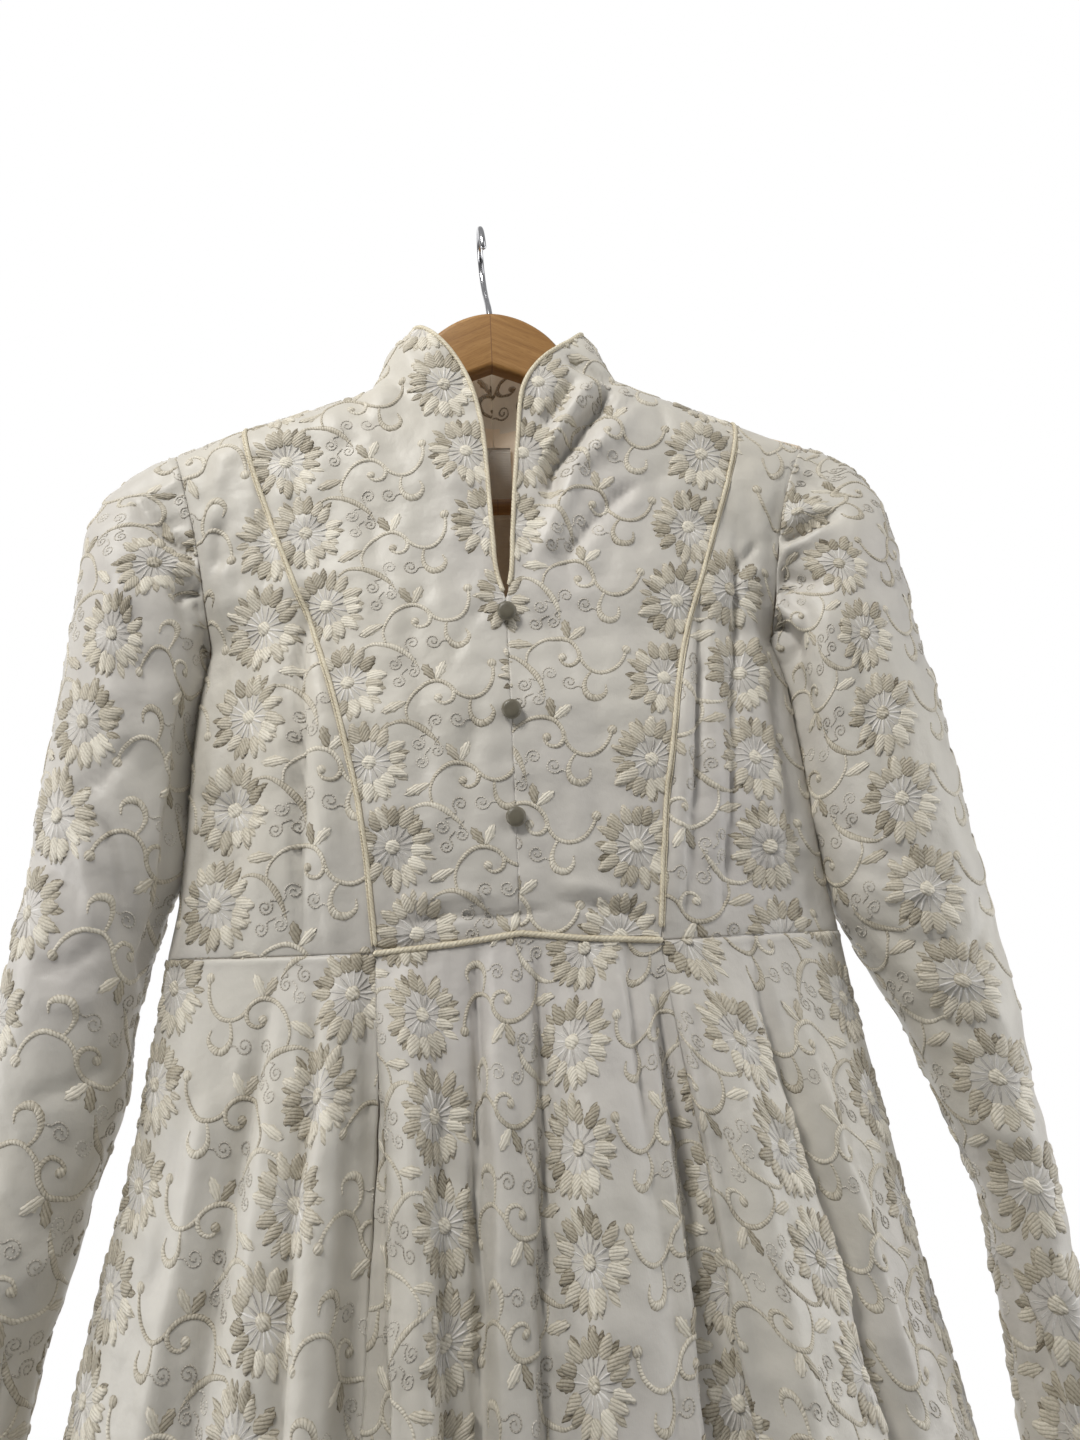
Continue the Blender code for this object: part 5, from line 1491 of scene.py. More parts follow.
def flower(seed, fine):
    rng = np.random.default_rng(seed)
    m = Motif()
    count = 15
    gap = 2 * math.pi / count
    turn = rng.uniform(0, 0.3)
    for i in range(count):              # second layer, behind the gaps
        if rng.random() < 0.7:
            a = turn + (i + 0.5) * gap + rng.normal() * 0.05
            petal(m, polar(15.0, a), a, 8.2 + rng.normal() * 0.9, 5.6, 0.6,
                  slanted(a), 5 if fine else 2, rng, -0.12)
    for i in range(count):
        a = turn + i * gap + rng.normal() * 0.04
        size = 11.8 + rng.normal() * 1.4
        petal(m, polar(10.8 + rng.normal() * 0.7, a),
              a + rng.normal() * 0.15, size, 7.8 + rng.normal() * 0.8,
              1.1 + 0.25 * (i % 2), slanted(a), 8 if fine else 3, rng,
              waist=0.55)
    # the inner ring: pale strands with a dark line between each two, partly sunk and
    # partly painted shade
    count = 17
    for i in range(count):
        a = turn + i * 2 * math.pi / count + rng.normal() * 0.02
        petal(m, polar(3.4, a), a, 9.4 + rng.normal() * 0.8, 1.9, 0.8, a,
              5 if fine else 2, rng, 0.08, 0.5, 1.0, False)
    dome(m, np.array([0.0, 0.0]), 4.1, 1.2, 0.4, 14 if fine else 7, 0.6,
         0.2, rng if fine else None)
    return m.done()


def vines(seed, fine):
    """One repeat of the trail that joins two flower columns."""
    rng = np.random.default_rng(seed)

    def j(pts, size=0.35):
        return [(x + rng.normal() * size, y + rng.normal() * size)
                for x, y in pts]
    m = Motif()
    # arc from the flower, tapered to a point
    vine(m, j([(11.5, -15.5), (17, -17.3), (24, -16.2), (31, -12),
               (36.8, -5.5), (40.5, 2.0)]),
         [1.4, 2.2, 3.2, 3.9, 3.0, 0.5], 0.72, 19 if fine else 8, fine=fine,
         tone=0.02, rng=rng)
    # stem, hill, valley, up to the bud beside the next flower
    vine(m, j([(27.0, 32.4), (27.2, 27), (30, 21), (36, 16), (43, 13.6),
               (49, 14.8), (54, 19), (57, 24.6), (62, 28.8), (69, 29.4),
               (75.5, 26), (79.6, 20), (81, 14)], 0.2),
         [1.5, 1.9, 2.5, 2.9, 2.6, 2.3, 2.7, 2.5, 1.9], 0.72,
         44 if fine else 18, fine=fine, tone=0.02, rng=rng)
    vine(m, j([(53.5, 18.4), (55.8, 23.6), (53, 28.2), (48, 28.8),
               (45.2, 25.6)], 0.2), [2.0, 2.8, 2.4, 1.7], 0.72,
         14 if fine else 7, fine=fine, tone=0.02, rng=rng)
    dome(m, np.array([46.4, 24.4]), 2.6, 1.1, 0.9, 10 if fine else 6)
    dome(m, np.array([81.0, 12.6]), 2.9, 1.1, 2.0, 10 if fine else 6)
    # hook under the valley
    vine(m, j([(63.5, 29), (61.6, 34), (61.4, 40), (64.8, 45), (70.2, 45),
               (73.6, 41), (72.8, 36.4)], 0.2),
         [1.4, 2.0, 3.0, 4.4, 4.3, 2.6, 0.9], 0.8, 23 if fine else 9,
         fine=fine, tone=0.02, rng=rng)
    # leaves: one on the stem, a pair on the hill
    steps = 7 if fine else 3
    petal(m, (28.8, 21.2), math.radians(172), 15.5, 7.6, 0.95, -0.3, steps,
          rng, 0.1, 0.2)
    petal(m, (47.2, 13.4), math.radians(252), 12.0, 6.4, 0.9, 0.9, steps,
          rng, -0.2, 0.25)
    petal(m, (48.4, 13.6), math.radians(-52), 12.4, 6.6, 0.9, -0.9, steps,
          rng, 0.24, 0.25)
    spiral(m, (41.4, -12.0), 4.3, 2.4, 1.5, 1, (36.0, -6.0), fine)
    spiral(m, (28.4, -2.6), 4.1, -1.0, 1.6, 1, (34.6, -6.4), fine)
    spiral(m, (27.6, 8.0), 4.0, -0.8, 1.5, 1, (34.4, 1.8), fine)
    spiral(m, (37.4, 4.6), 3.9, -1.6, 1.5, 1, (40.6, -2.6), fine)
    spiral(m, (53.0, 39.0), 4.5, 0.4, 1.5, 1, (61.6, 41.4), fine)
    return m.done()


# worked finely where the front shows them, more simply elsewhere
FLOWERS = {fine: [flower(s, fine) for s in (21, 22, 23)]
           for fine in (True, False)}
VINES = {fine: [vines(s, fine) for s in (31, 32)] for fine in (True, False)}


def turned(lean, size=1.0):
    """Axes of a pattern that leans from straight down (+ leans to +X)."""
    a = math.radians(-lean)
    return ((size * math.cos(a), size * math.sin(a)),
            (-size * math.sin(a), size * math.cos(a)))


# where each panel's pattern lies: turned half round or not, on a column whose
# trail runs plain (0) or mirrored (1), a flower's place in the flat cut, the
# axes across and down the columns, and how the repeat grows along them
LAYOUT = {
    "bib_left": (False, 0, (-126.7, -289.1), turned(14.5), 0),
    "bib_right": (False, 1, (124.9, -289.9), turned(-13.7, 1.02), 0),
    "side_front_left": (False, 0, (-140.9, -186.1), turned(-9.6, 1.1), 0),
    "side_front_right": (True, 0, (146.4, -47.9), turned(3.6, 1.07), 0),
    "back_left": (True, 0, (-60.0, -200.0), turned(0.0, 1.04), 0),
    "back_right": (True, 1, (62.0, -186.0), turned(0.0, 1.04), 0),
    "sleeve_left": (True, 1, (-40.5, 305.0), turned(-8.5, 1.186), 0.0002),
    "sleeve_right": (True, 0, (-4.5, 481.7), turned(-0.3, 1.27), 0.00034),
    "skirt_front_centre": (True, 0, (15.0, 210.3),
                           ((0.907, -0.064), (-0.089, 1.057)), 0),
    "skirt_front_left": (True, 1, (27.5, 220.2),
                         ((0.992, 0.293), (-0.12, 1.028)), 0),
    "skirt_front_right": (True, 0, (-14.1, 164.4),
                          ((0.84, 0.10), (0.207, 1.135)), 0),
    "skirt_back_left": (True, 0, (0.0, 40.0), turned(-8.0, 1.04), 0),
    "skirt_back_right": (True, 1, (0.0, 60.0), turned(8.0, 1.04), 0),
}

# a flower that the bib seam takes, and one eased into the sleeve's head
BARE = {("side_front_right", "flower", 0, 4)}
MOVED = {("sleeve_right", "flower", 0, 9): (21.0, -12.0)}


def stitch_panel(name, p, n, flat, front=True):
    """The panel's pattern, carried from its flat cut onto its cloth."""
    half_turn, parity, origin, axes, quad = LAYOUT[name]
    rng = np.random.default_rng(sum(map(ord, name)))
    rows, cols = flat.shape[:2]
    f2, p3, n3 = flat.reshape(-1, 2), p.reshape(-1, 3), n.reshape(-1, 3)
    idx = np.arange(rows * cols).reshape(rows, cols)
    a, b = idx[:-1, :-1].ravel(), idx[:-1, 1:].ravel()
    c, d = idx[1:, 1:].ravel(), idx[1:, :-1].ravel()
    tris = np.concatenate([np.stack([a, b, c], 1), np.stack([a, c, d], 1)])
    tree = BVHTree.FromPolygons([(x, y, 0.0) for x, y in f2.tolist()],
                                tris.tolist())
    axes = np.array(axes)
    lean = math.atan2(-axes[1, 0], axes[1, 1])
    s = -1.0 if half_turn else 1.0
    origin = np.array(origin)

    def placed(q):
        q = s * np.asarray(q, float)
        grow = 1 + 2 * quad * q[..., 1]
        return (origin + (q[..., 0] * grow)[..., None] * axes[0]
                + (q[..., 1] + quad * q[..., 1] ** 2)[..., None] * axes[1])
    lo, hi = f2.min(0), f2.max(0)
    corners = np.array([(x, y) for x in (lo[0], hi[0])
                        for y in (lo[1], hi[1])])
    local = (corners - origin) @ np.linalg.inv(axes) * s
    k0 = int(math.floor(local[:, 0].min() / ACROSS)) - 2
    k1 = int(math.ceil(local[:, 0].max() / ACROSS)) + 2
    r0 = int(math.floor(local[:, 1].min() / REPEAT)) - 4
    r1 = int(math.ceil(local[:, 1].max() / REPEAT)) + 4
    kept, count = [], 0
    for k in range(k0, k1):
        odd = (k + parity) % 2
        shift = REPEAT / 2 if k % 2 else 0.0
        for r in range(r0, r1):
            base = np.array([k * ACROSS, r * REPEAT + shift])
            for kind in ("flower", "vine"):
                flip = -1.0 if kind == "vine" and odd else 1.0
                reach, mid = ((26.0, np.array([0.0, 0.0]))
                              if kind == "flower" else
                              (50.0, np.array([47.0, 15.0 * flip])))
                pick = rng.integers(6)
                tint = np.clip(rng.normal(size=400), -1.4, 1.4)
                if (name, kind, k, r) in BARE:
                    continue
                nudge = np.array(MOVED.get((name, kind, k, r), (0.0, 0.0)))
                centre = placed(base + mid) + nudge
                if np.any(centre < lo - reach) or \
                        np.any(centre > hi + reach):
                    continue
                hit = tree.find_nearest((centre[0], centre[1], 0.0))
                if hit[3] > reach:
                    continue
                corner = tris[hit[2]]
                fine = bool(front and -p3[corner, 2].mean() < SEEN
                            and n3[corner, 1].mean() < 0.3)
                if kind == "flower":
                    m = FLOWERS[fine][pick % 3]
                    spin = (pick // 3) * math.pi / 15
                    cs, sn = math.cos(spin), math.sin(spin)
                    v = m.v @ np.array([[cs, sn], [-sn, cs]])
                    way = m.way + spin
                else:
                    m = VINES[fine][pick % 2]
                    v, way = m.v * (1.0, flip), m.way * flip
                tone = 0.62 + m.tone + tint[m.item] * (
                    0.15 if kind == "flower" else 0.10)
                # painted sheen: each petal is painted lighter or darker by the
                # direction it points in on the hanging panel
                if kind == "flower":
                    tone += (0.12 * np.cos(2 * (way + lean - 0.75))
                             + 0.13 * s * np.cos(way + lean - 0.8)) \
                        * (1 - 0.7 * m.pale)
                f = m.f + count
                kept.append((placed(base + v) + nudge, m.h, tone, m.pale,
                             m.uv + rng.uniform(0, 50, 2),
                             f[:, ::-1] if flip < 0 else f))
                count += len(v)
    pos, h, tone, pale, uv, faces = (np.concatenate(c) for c in zip(*kept))
    # carry every point onto the hanging cloth
    tri = np.empty(len(pos), int)
    near = np.empty((len(pos), 2))
    gap = np.empty(len(pos))
    find = tree.find_nearest
    for i, (x, y) in enumerate(pos.tolist()):
        q, _, t, dist = find((x, y, 0.0))
        near[i], tri[i], gap[i] = (q[0], q[1]), t, dist
    corner = tris[tri]
    a, b, c = f2[corner[:, 0]], f2[corner[:, 1]], f2[corner[:, 2]]
    v0, v1, v2 = b - a, c - a, near - a
    den = v0[:, 0] * v1[:, 1] - v1[:, 0] * v0[:, 1]
    den = np.where(np.abs(den) < 1e-9, 1e-9, den)
    wb = (v2[:, 0] * v1[:, 1] - v1[:, 0] * v2[:, 1]) / den
    wc = (v0[:, 0] * v2[:, 1] - v2[:, 0] * v0[:, 1]) / den
    w = np.clip(np.stack([1 - wb - wc, wb, wc], -1), 0, 1)
    w /= w.sum(1, keepdims=True)
    at = np.einsum("ij,ijk->ik", w, p3[corner])
    up = unit(np.einsum("ij,ijk->ik", w, n3[corner]))
    out = gap > 0.05
    h = np.where(out, -0.15, h)
    verts = at + up * h[:, None]
    keep = ~out[faces].all(1)
    faces = faces[keep]
    # faces must look outwards
    q = verts[faces]
    turn = np.cross(q[:, 1] - q[:, 0], q[:, 2] - q[:, 0])
    way = np.einsum("ij,ij->i", turn, up[faces[:, 0]])
    size = np.linalg.norm(turn, axis=1)
    faces = np.where((way < 0)[:, None], faces[:, ::-1], faces)[size > 1e-4]
    used = np.unique(faces)
    remap = np.zeros(len(verts), int)
    remap[used] = np.arange(len(used))
    return (verts[used], remap[faces], {"Stitch": uv[used]},
            {"tone": tone[used], "pale": pale[used]})


made, report = {}, {}
for name, cloth in panels.items():
    verts, faces, mat, cut = shell(cloth)
    mesh = new_mesh("cloth_" + name, verts, faces, {"Cut": cut},
                    face_mat=mat)
    obj = add("cloth_" + name, mesh, [SATIN, LINING_GLOWING, GLOWING_FACING]
              if name.startswith("back") else [SATIN, LINING],
              replaces=(name,))
    ev, ef, uvs, values = stitch_panel(name, *cloth.unrolled(),
                                       not name.startswith("back"))
    sewn_on = [add("embroidery_" + name, new_mesh(
        "embroidery_" + name, ev, ef, uvs, values), STITCH)]
    if name.startswith("back"):     # the standing collar is faced alike
        k = int(np.argmax(-cloth.p[:, -1, 2] > 122))
        iv, fi, uvs, values = stitch_panel(
            name, cloth.p[:k] - cloth.n[:k] * SHELL, -cloth.n[:k],
            cloth.flat[:k])
        sewn_on.append(add("embroidery_collar" + name[4:], new_mesh(
            "embroidery_collar" + name[4:], iv, fi, uvs, values), STITCH))
    u, v = cloth.flat[..., 0], cloth.flat[..., 1]
    size = (float(np.ptp(u)) * MM, float(np.ptp(v)) * MM)
    q = cloth.flat
    d1, d2 = q[1:, 1:] - q[:-1, :-1], q[1:, :-1] - q[:-1, 1:]
    area = float(np.abs(d1[..., 0] * d2[..., 1]
                        - d1[..., 1] * d2[..., 0]).sum() / 2) * 1e-6
    area = min(max(area, 0.31 * size[0] * size[1]), size[0] * size[1])
    hang = (["cloth_bib_left", "cloth_bib_right", "cloth_side_front_left",
             "cloth_side_front_right"] if name.startswith("skirt_front") else
            ["cloth_back_left", "cloth_back_right"]
            if name.startswith("skirt_back") else
            ["cloth_side_front_" + name[7:]] if name.startswith("sleeve")
            else ["hanger_wood"])
    made[name] = (obj, size, area, hang, sewn_on)
    report[name] = [round(size[0] * 1000), round(size[1] * 1000),
                    round(area, 4), len(faces) * 2, len(ef)]


# ------------------------------------------------------------------- cords
def sweep(path, frames, rings, closed_ends=True):
    """Faces of a tube: path (n,3), two unit frames, ring(i) -> (m,2)."""
    side, up = frames
    verts, k = [], None
    for i, q in enumerate(path):
        ring = np.asarray(rings(i))
        k = len(ring)
        verts.append(q + side[i] * ring[:, :1] + up[i] * ring[:, 1:])
    verts = np.concatenate(verts)
    f = []
    for i in range(len(path) - 1):
        for j in range(k):
            m = (j + 1) % k
            f.append((i * k + j, i * k + m, (i + 1) * k + m, (i + 1) * k + j))
    return verts, np.array(f), k


def fine_path(points, step):
    points = np.asarray(points, float)
    dense = catmull(points[:, None, :],
                    np.linspace(0, len(points) - 1, 16 * len(points)))[:, 0]
    run = np.concatenate([[0], np.cumsum(
        np.linalg.norm(np.diff(dense, axis=0), axis=1))])
    at = np.linspace(0, run[-1], max(4, int(run[-1] / step)))
    return np.stack([np.interp(at, run, dense[:, c]) for c in range(3)],
                    -1), at


def frames_along(path, normal):
    way = unit(np.gradient(path, axis=0))
    up = unit(normal - way * np.sum(normal * way, -1, keepdims=True))
    return np.cross(way, up), up


def cord_mesh(name, path, run, normal, radius, offset=0.0, lobes=0,
              pitch=5.0, sides=10, lean=0.9, squash=1.0):
    """A sewn cord, plain or twisted from two strands."""
    side, up = frames_along(path, normal)
    a = np.arange(sides) * 2 * math.pi / sides

    def ring(i):
        r = radius
        if lobes:
            r = radius * (0.86 + 0.17 * np.abs(np.cos(
                (a - run[i] * 2 * math.pi / pitch) * lobes / 2)))
        end = min(run[i], run[-1] - run[i]) / radius
        r = r * math.sqrt(max(0.02, 1 - (1 - min(end, 1)) ** 2))
        return np.stack([offset + r * np.cos(a), r * squash * np.sin(a)], -1)
    verts, faces, k = sweep(path, (side, up), ring)
    c, s = math.cos(lean), math.sin(lean)
    r, w = np.repeat(run, k), np.tile(a * radius, len(path))
    uv = np.stack([r * c + w * s, -r * s + w * c], -1)
    # painted light: the cord's top is painted lighter and its sides and underside
    # darker, with a slow change along it
    tone = (0.35 + 0.05 * np.sin(np.repeat(run, k) * 0.21)
            + 0.36 * np.tile(np.sin(a), len(path)))
    return verts, faces, uv, tone


def join(parts):
    verts, faces, uv, tone, base = [], [], [], [], 0
    for v, f, u, t in parts:
        verts.append(v)
        faces.append(np.asarray(f) + base)
        uv.append(u)
        tone.append(t)
        base += len(v)
    return (np.concatenate(verts), np.concatenate(faces),
            np.concatenate(uv), np.concatenate(tone))


def add_cord(name, parts, replaces):
    v, f, uv, tone = join(parts)
    return add(name, new_mesh(name, v, f, {"Stitch": uv}, {"tone": tone}),
               CORD, replaces=replaces)


for side, word in ((-1, "left"), (1, "right")):
    bib = panels["bib_" + word]
    col = bib.p[:, 0]
    nrm = unit(bib.n[:, 0] + panels["side_front_" + word].n[
        np.linspace(0, len(panels["side_front_" + word].n) - 1,
                    len(col)).astype(int), -1])
    inwards = unit(bib.p[:, 2] - col)
    base = col + nrm * 0.75 + inwards * 0.55
    path, run = fine_path(base[1:-2:4], 1.3)
    nn = np.stack([np.interp(np.linspace(0, 1, len(path)),
                             np.linspace(0, 1, len(nrm)), nrm[:, c])
                   for c in range(3)], -1)
    parts = [cord_mesh("", path, run, nn, 1.25, lean=0.75)]
    # the seam's own turned edge, a thin line beside the cord
    lip = path - np.cross(unit(np.gradient(path, axis=0)), unit(nn)) * (
        1.7 * (1 if np.dot(np.cross(path[9] - path[8], nn[8]),
                           inwards[len(inwards) // 2]) > 0 else -1))
    parts.append(cord_mesh("", lip - unit(nn) * 0.45, run, nn, 0.6,
                           lean=1.2, sides=6))
    add_cord("cord_bib_" + word, parts, ("piping_bib_" + word,))
    # neck cord: along the free edge, from the collar's tip to the slit
    t_end = np.argmin(np.abs(-bib.p[:, -1, 2] - 264))
    edge = bib.p[:t_end + 1, -1] + bib.n[:t_end + 1, -1] * 0.2
    path, run = fine_path(edge[1::3], 1.2)
    nn = np.stack([np.interp(np.linspace(0, 1, len(path)),
                             np.linspace(0, 1, t_end + 1),
                             bib.n[:t_end + 1, -1, c])
                   for c in range(3)], -1)
    add_cord("cord_neck_" + word,
             [cord_mesh("", path, run, nn, 1.45, 0.0, lean=0.8)],
             ("piping_neck_" + word,))

x = np.linspace(-77.5, 78, 60)
rope_line = foot_line(x, "front")
nn = np.stack([0 * x, -1 + 0 * x, 0 * x], -1)
slope = np.gradient(rope_line[:, 1], rope_line[:, 0])
nn = unit(np.stack([slope, -1 + 0 * x, 0 * x], -1))
path, run = fine_path(rope_line + nn * 1.3, 0.9)
nn = np.stack([np.interp(np.linspace(0, 1, len(path)), np.linspace(0, 1, 60),
                         nn[:, c]) for c in range(3)], -1)
add_cord("cord_waist", [
    cord_mesh("", path, run, nn, 1.75, 0.0, lobes=2, pitch=7.0, sides=12,
              lean=0.8)], ("piping_waist",))


# ------------------------------------------------------- buttons and the zip
def lathe(profile, steps, place):
    """Turned mesh: profile of (radius, height), placed by a 4x4 matrix."""
    a = np.arange(steps) * 2 * math.pi / steps
    rings = [np.stack([r * np.cos(a), r * np.sin(a), h + 0 * a], -1)
             for r, h in profile]
    verts = np.concatenate(rings)
    verts = verts @ np.array(place.to_3x3()).T + np.array(place.translation)
    f = []
    for i in range(len(profile) - 1):
        for j in range(steps):
            k = (j + 1) % steps
            f.append((i * steps + j, i * steps + k,
                      (i + 1) * steps + k, (i + 1) * steps + j))
    return verts, np.array(f)


def cf_y(drop):
    return -float(bodice_depth(np.array([CF_X]), np.array([float(drop)]),
                               1, "front")[0])


for word, drop in zip(("top", "middle", "bottom"), (275.0, 334.0, 394.0)):
    dome_profile = [(0.02, 3.50), (1.8, 3.48), (3.2, 3.40), (4.1, 3.22),
                    (4.8, 2.85), (5.3, 2.3), (5.58, 1.65), (5.62, 1.1),
                    (5.45, 0.6), (5.0, 0.3), (3.0, 0.15), (0.02, 0.15)]
    lean = math.atan2(cf_y(drop + 8) - cf_y(drop - 8), 16)
    place = (Matrix.Translation((CF_X, cf_y(drop) - 1.0, -drop))
             @ Matrix.Rotation(math.pi / 2 - lean, 4, "X"))
    verts, faces = lathe(dome_profile[::-1], 40, place)
    add("button_" + word + "_cover", new_mesh(
        "button_" + word + "_cover", verts, faces), BUTTON,
        replaces=("button_" + word,))

# the zip's tape follows the centre back, inside the dress
lo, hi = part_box("zip_tape")
back_l, back_r = panels["back_left"], panels["back_right"]
seam = [q for q, d in zip(back_r.p[:, -1], -back_r.p[:, -1, 2]) if d > 139.2]
run_skirt = panels["skirt_back_right"].p[:, 0]
seam += [q for q in run_skirt if 470 < -q[2] < -lo[2] / MM - 1]
seam = np.array(seam)[::3]
seam[:, 0] = 0
path, run = fine_path(seam, 2.5)
path[:, 1] -= 2.6
across = np.array([-11, -10.6, -6, -2.0, -1.2, 1.2, 2.0, 6, 10.6, 11.0])
rise = np.array([0, 0.1, 0.0, 0.3, 0.75, 0.75, 0.3, 0.0, 0.1, 0])
tape_v, tape_f = [], []
for i, q in enumerate(path):
    for back in (0.0, 0.7):
        tape_v.append(np.stack([across, q[1] - rise - back,
                                q[2] + 0 * across], -1))
tape_v = np.concatenate(tape_v)
k = len(across)
for i in range(len(path) - 1):
    for layer in (0, 1):
        for j in range(k - 1):
            a, b = (2 * i + layer) * k + j, (2 * i + layer) * k + j + 1
            c, d = b + 2 * k, a + 2 * k
            tape_f.append((a, b, c, d) if layer else (d, c, b, a))
    for j in (0, k - 1):
        a, b = 2 * i * k + j, (2 * i + 1) * k + j
        c, d = b + 2 * k, a + 2 * k
        tape_f.append((a, b, c, d) if j == 0 else (d, c, b, a))
for i in (0, len(path) - 1):
    for j in range(k - 1):
        a, b = 2 * i * k + j, 2 * i * k + j + 1
        c, d = b + k, a + k
        tape_f.append((d, c, b, a) if i == 0 else (a, b, c, d))
add("zip_tape_woven", new_mesh("zip_tape_woven", tape_v, tape_f), TAPE,
    replaces=("zip_tape",))

# the teeth: a fine coil on each side, joined as one mesh
teeth_v, teeth_f, base = [], [], 0
total = run[-1] - 6
for i in range(int(total / 1.5)):
    at = 3 + i * 1.5
    q = np.array([np.interp(at, run, path[:, c]) for c in range(3)])
    for s in (-1, 1):
        box = np.array([(x, y, z) for x in (-1.3, 1.3) for y in (-0.45, 0.45)
                        for z in (-0.42, 0.42)]) * (1, 1, 1)
        box[:, 2] += s * box[:, 0] * 0.22 + (0.36 if s > 0 else -0.36)
        box += q + (s * 0.9, 1.05, 0)
        teeth_v.append(box)
        teeth_f.append(np.array([(0, 1, 3, 2), (4, 6, 7, 5), (0, 4, 5, 1),
                                 (2, 3, 7, 6), (0, 2, 6, 4),
                                 (1, 5, 7, 3)]) + base)
        base += 8
teeth = add("zip_teeth", new_mesh("zip_teeth", np.concatenate(teeth_v),
                                  np.concatenate(teeth_f)), NYLON)
for node in ("zip_slider", "zip_pull"):
    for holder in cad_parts[node].material_slots:
        holder.material = ZIP_STEEL

# ---------------------------------------------------------------- the hanger
HANGER_TOP = [(0, 59), (18, 63), (34, 73), (49, 91), (64, 110), (80, 124),
              (112, 136), (154, 148), (190, 161), (212, 170), (226, 181),
              (231, 193), (227, 203)]
HANGER_UNDER = [(214, 206), (200, 199), (168, 184), (124, 168), (84, 151),
                (50, 128), (22, 107), (0, 98)]


def half_outline():
    """Smooth outline of the hanger's right half, top then under edge."""
    pts = np.array(HANGER_TOP + HANGER_UNDER, float)
    path = np.concatenate([[(-18, 63)], pts])
    dense = catmull(path[:, None, :],
                    np.linspace(1, len(path) - 1, 1200))[:, 0]
    run = np.concatenate([[0], np.cumsum(
        np.linalg.norm(np.diff(dense, axis=0), axis=1))])
    at = np.linspace(0, run[-1], 190)
    return np.stack([np.interp(at, run, dense[:, c]) for c in (0, 1)], -1)


def hanger():
    half = half_outline()
    half[0, 0] = half[-1, 0] = 0
    ring = np.concatenate([half, (half * (-1, 1))[-2:0:-1]])
    way = unit(np.roll(ring, -1, 0) - np.roll(ring, 1, 0))
    inward = np.stack([-way[:, 1], way[:, 0]], -1)
    apex = len(half) - 1
    inward[apex] = (0, -1)
    if np.dot(inward[0], (0, 1)) < 0:
        inward = -inward
        inward[apex] = (0, -1)
    thick, rad = 13.0, 3.6
    layers = []
    for i in range(6):
        a = math.pi / 2 * i / 5
        layers.append((rad * (1 - math.sin(a)), -thick / 2 + rad
                       * (1 - math.cos(a))))
    layers += [(e, -y) for e, y in layers[::-1]]
    verts, count = [], len(ring)
    for inset, y in layers:
        q = ring + inward * inset
        verts.append(np.stack([q[:, 0], y + 0 * q[:, 0], -q[:, 1]], -1))
    me = bpy.data.meshes.new("hanger_beech")
    bm = bmesh.new()
    vs = [[bm.verts.new(tuple(p * MM)) for p in layer] for layer in verts]
    for a, b in zip(vs, vs[1:]):
        for j in range(count):
            k = (j + 1) % count
            bm.faces.new((a[j], a[k], b[k], b[j]))
    for layer in (vs[0], vs[-1]):
        # the two flat sides, each one face over both arms, though each arm is its own
        # piece of wood
        f = bm.faces.new(layer)
        f.smooth = False
    bmesh.ops.triangulate(bm, faces=[f for f in bm.faces
                                     if len(f.verts) > 4])
    bmesh.ops.recalc_face_normals(bm, faces=bm.faces)
    uv = bm.loops.layers.uv.new("Grain")
    for f in bm.faces:
        f.smooth = True
        c = f.calc_center_median()
        s = 1.0 if c.x >= 0 else -1.0
        for lp in f.loops:
            x, z = lp.vert.co.x * s * 1000, lp.vert.co.z * 1000
            lp[uv].uv = (x * 0.91 - z * 0.42 + (900 if s > 0 else 0),
                         x * 0.42 + z * 0.91 + lp.vert.co.y * 600 * s)
    bm.to_mesh(me)
    bm.free()
    me.set_sharp_from_angle(angle=math.radians(50))
    return me


add("hanger_body", hanger(), WOOD, replaces=("hanger_wood",))

a = np.arange(28) * 2 * math.pi / 28
bar_x = np.concatenate([[-212, -211.4], np.linspace(-208, 208, 60),
                        [211.4, 212]])
bar_r = np.concatenate([[4.4, 4.9], np.full(60, 5.0), [4.9, 4.4]])
bar_v = np.concatenate([np.stack([x + 0 * a, r * np.cos(a),
                                  -192 + r * np.sin(a)], -1)
                        for x, r in zip(bar_x, bar_r)])
bar_f = [(i * 28 + j, i * 28 + (j + 1) % 28, (i + 1) * 28 + (j + 1) % 28,
          (i + 1) * 28 + j) for i in range(len(bar_x) - 1)
         for j in range(28)]
bar_uv = np.stack([bar_v[:, 0], np.tile(a * 5, len(bar_x))], -1)
bar = add("hanger_rod", new_mesh("hanger_rod", bar_v, bar_f,
                                 {"Grain": bar_uv}), WOOD,
          replaces=("hanger_bar",))

# hook: the route of its solid, with a rounded tip
HOOK_R, WIRE_R, SHANK_IN, CROWN = 18.0, 2.0, 12.0, 59.0
hook = [(0, 0, -CROWN - SHANK_IN), (0, 0, -CROWN + 1), (0, 1.5, -52),
        (0, 6.5, -44), (0, 12.5, -35), (0, 16.6, -26)]
for i in range(25):
    ang = math.radians(198 * i / 24)
    hook.append((0, HOOK_R * math.cos(ang),
                 -(HOOK_R - WIRE_R) + HOOK_R * math.sin(ang)))
hook = np.array(hook, float)
hook[:, 0] = -np.clip(hook[:, 2] + CROWN, 0, None) * math.tan(
    math.radians(4.4))
path, run = fine_path(hook, 1.0)
lengths = np.linalg.norm(np.diff(hook, axis=0), axis=1)
way = unit(np.gradient(path, axis=0))
side = np.repeat([[1.0, 0, 0]], len(path), 0)
side = unit(side - way * np.sum(side * way, -1, keepdims=True))
up = np.cross(way, side)
ang = np.arange(20) * 2 * math.pi / 20


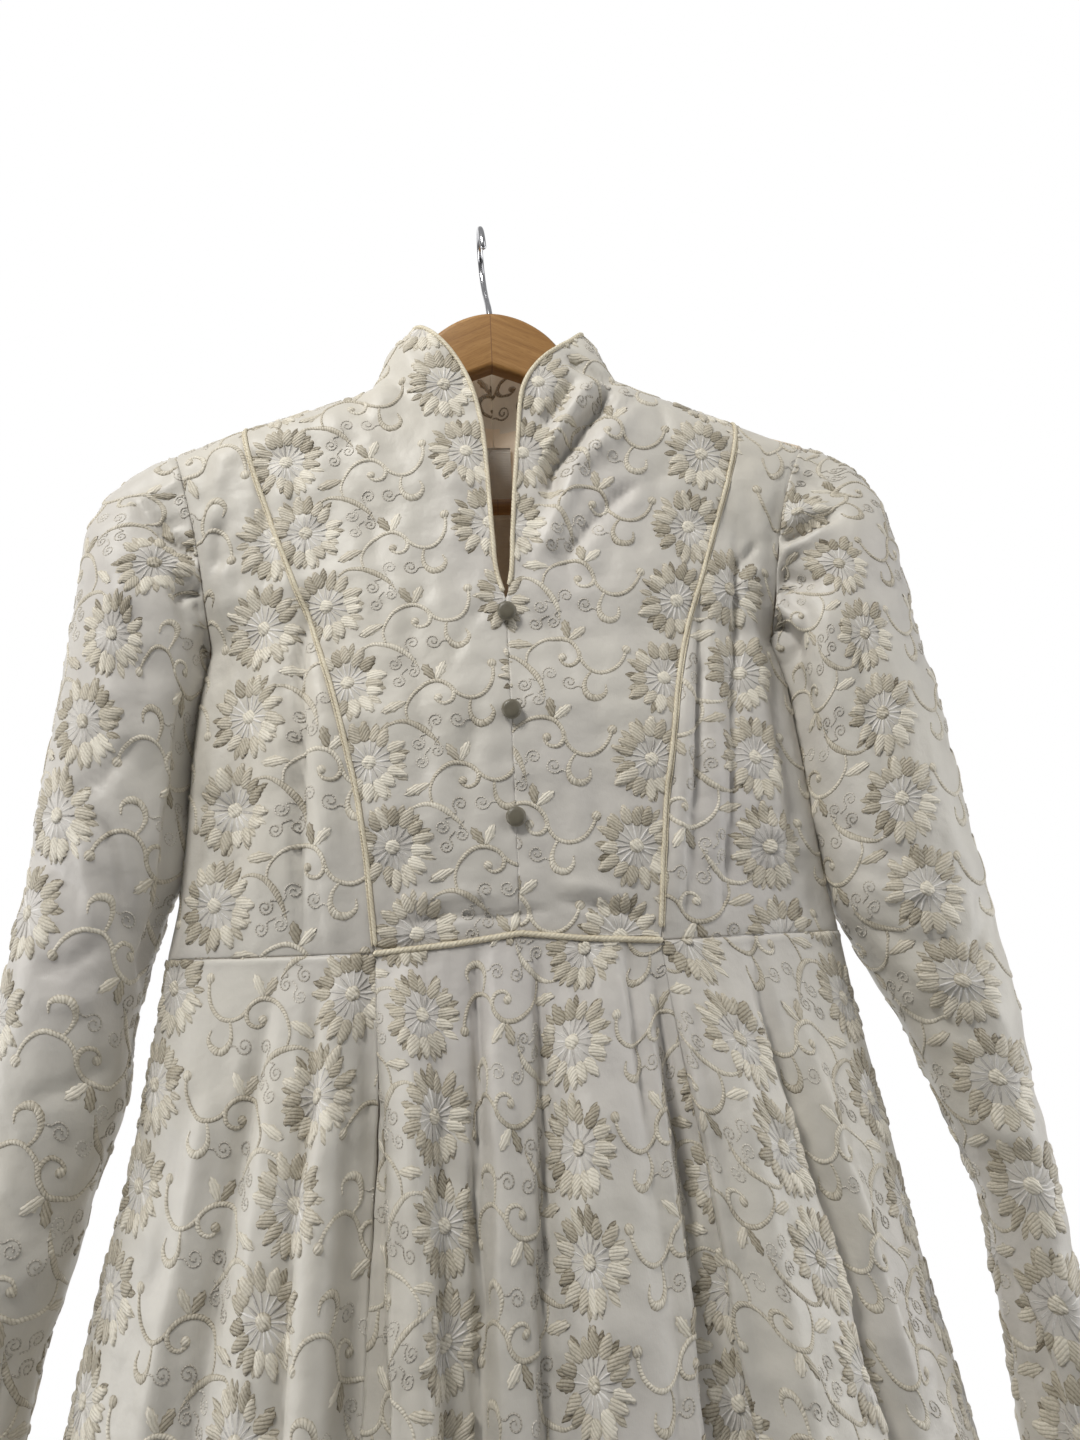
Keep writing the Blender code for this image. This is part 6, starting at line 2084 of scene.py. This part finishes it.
def hook_ring(i):
    end = (run[-1] - run[i]) / WIRE_R
    r = WIRE_R * math.sqrt(max(0.004, 1 - (1 - min(end, 1)) ** 2))
    return np.stack([r * np.cos(ang), r * np.sin(ang)], -1)


verts, faces, _ = sweep(path, (side, up), hook_ring)
add("hanger_hook_wire", new_mesh("hanger_hook_wire", verts, faces), CHROME,
    replaces=("hanger_hook",))

# --------------------------------------------------------- a pass over the panels that does nothing
for name, (obj, size, area, hang, sewn_on) in made.items():
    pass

# ------------------------------------------------------- floor and lighting
floor_mat, tree, shader = nodes_of("studio_floor")
shader.inputs["Base Color"].default_value = (0.68, 0.68, 0.68, 1)
shader.inputs["Roughness"].default_value = 0.9
floor = bpy.data.meshes.new("studio_floor")
bm = bmesh.new()
bmesh.ops.create_circle(bm, cap_ends=True, radius=1.85, segments=64)
bmesh.ops.translate(bm, verts=bm.verts, vec=(0, 0, -1.62))
bm.to_mesh(floor)
bm.free()
floor_obj = bpy.data.objects.new("studio_floor", floor)
floor.materials.append(floor_mat)
bpy.context.scene.collection.objects.link(floor_obj)

world = bpy.data.worlds.new("studio")
bpy.context.scene.world = world
world.use_nodes = True
tree = world.node_tree
sky = tree.nodes["Background"]
where = put(tree, "ShaderNodeTexCoord").outputs["Generated"]
split = put(tree, "ShaderNodeSeparateXYZ")
tree.links.new(where, split.inputs[0])
# an even white wall behind, a dim room in front that darkens downwards
high = put(tree, "ShaderNodeMapRange", in_1=-0.5, in_2=0.9, in_3=0.02,
           in_4=0.36)
tree.links.new(split.outputs[2], high.inputs[0])
rise = put(tree, "ShaderNodeMapRange", in_1=0.53, in_2=0.60, in_3=0.3,
           in_4=1.0)
tree.links.new(split.outputs[1], rise.inputs[0])
tree.links.new(high.outputs[0], rise.inputs[3])
# the backdrop itself is plain white from every side
seen = put(tree, "ShaderNodeLightPath").outputs["Is Camera Ray"]
tree.links.new(math_node(tree, "MAXIMUM", rise.outputs[0], seen),
               sky.inputs["Strength"])
sky.inputs["Color"].default_value = (1, 1, 1, 1)


def area_light(name, at, towards, size, power, colour=(1, 1, 1),
               spread=180):
    data = bpy.data.lights.new(name, "AREA")
    data.shape, data.size, data.size_y = "RECTANGLE", size[0], size[1]
    data.energy, data.color = power, colour
    data.spread = math.radians(spread)
    obj = bpy.data.objects.new(name, data)
    way = Vector(towards) - Vector(at)
    obj.location = at
    obj.rotation_euler = way.to_track_quat("-Z", "Y").to_euler()
    obj.visible_camera = False
    bpy.context.scene.collection.objects.link(obj)


area_light("key", (-0.75, -0.95, 0.85), (0, 0, -0.05), (0.45, 0.45), 5.7,
           (1.0, 0.985, 0.955), 90)
area_light("side", (1.6, -1.1, 0.6), (0, 0, -0.2), (1.2, 1.2), 6)
area_light("low_left", (-1.25, -0.15, -0.55), (-0.25, 0, -0.5), (0.6, 0.8),
           6.4)
area_light("low_right", (1.25, -0.15, -0.55), (0.25, 0, -0.5), (0.6, 0.8),
           6.6)

scene = bpy.context.scene
scene.view_settings.view_transform = "Standard"
scene.view_settings.look = "None"
scene.view_settings.exposure = 0.0
scene.view_settings.gamma = 1.0
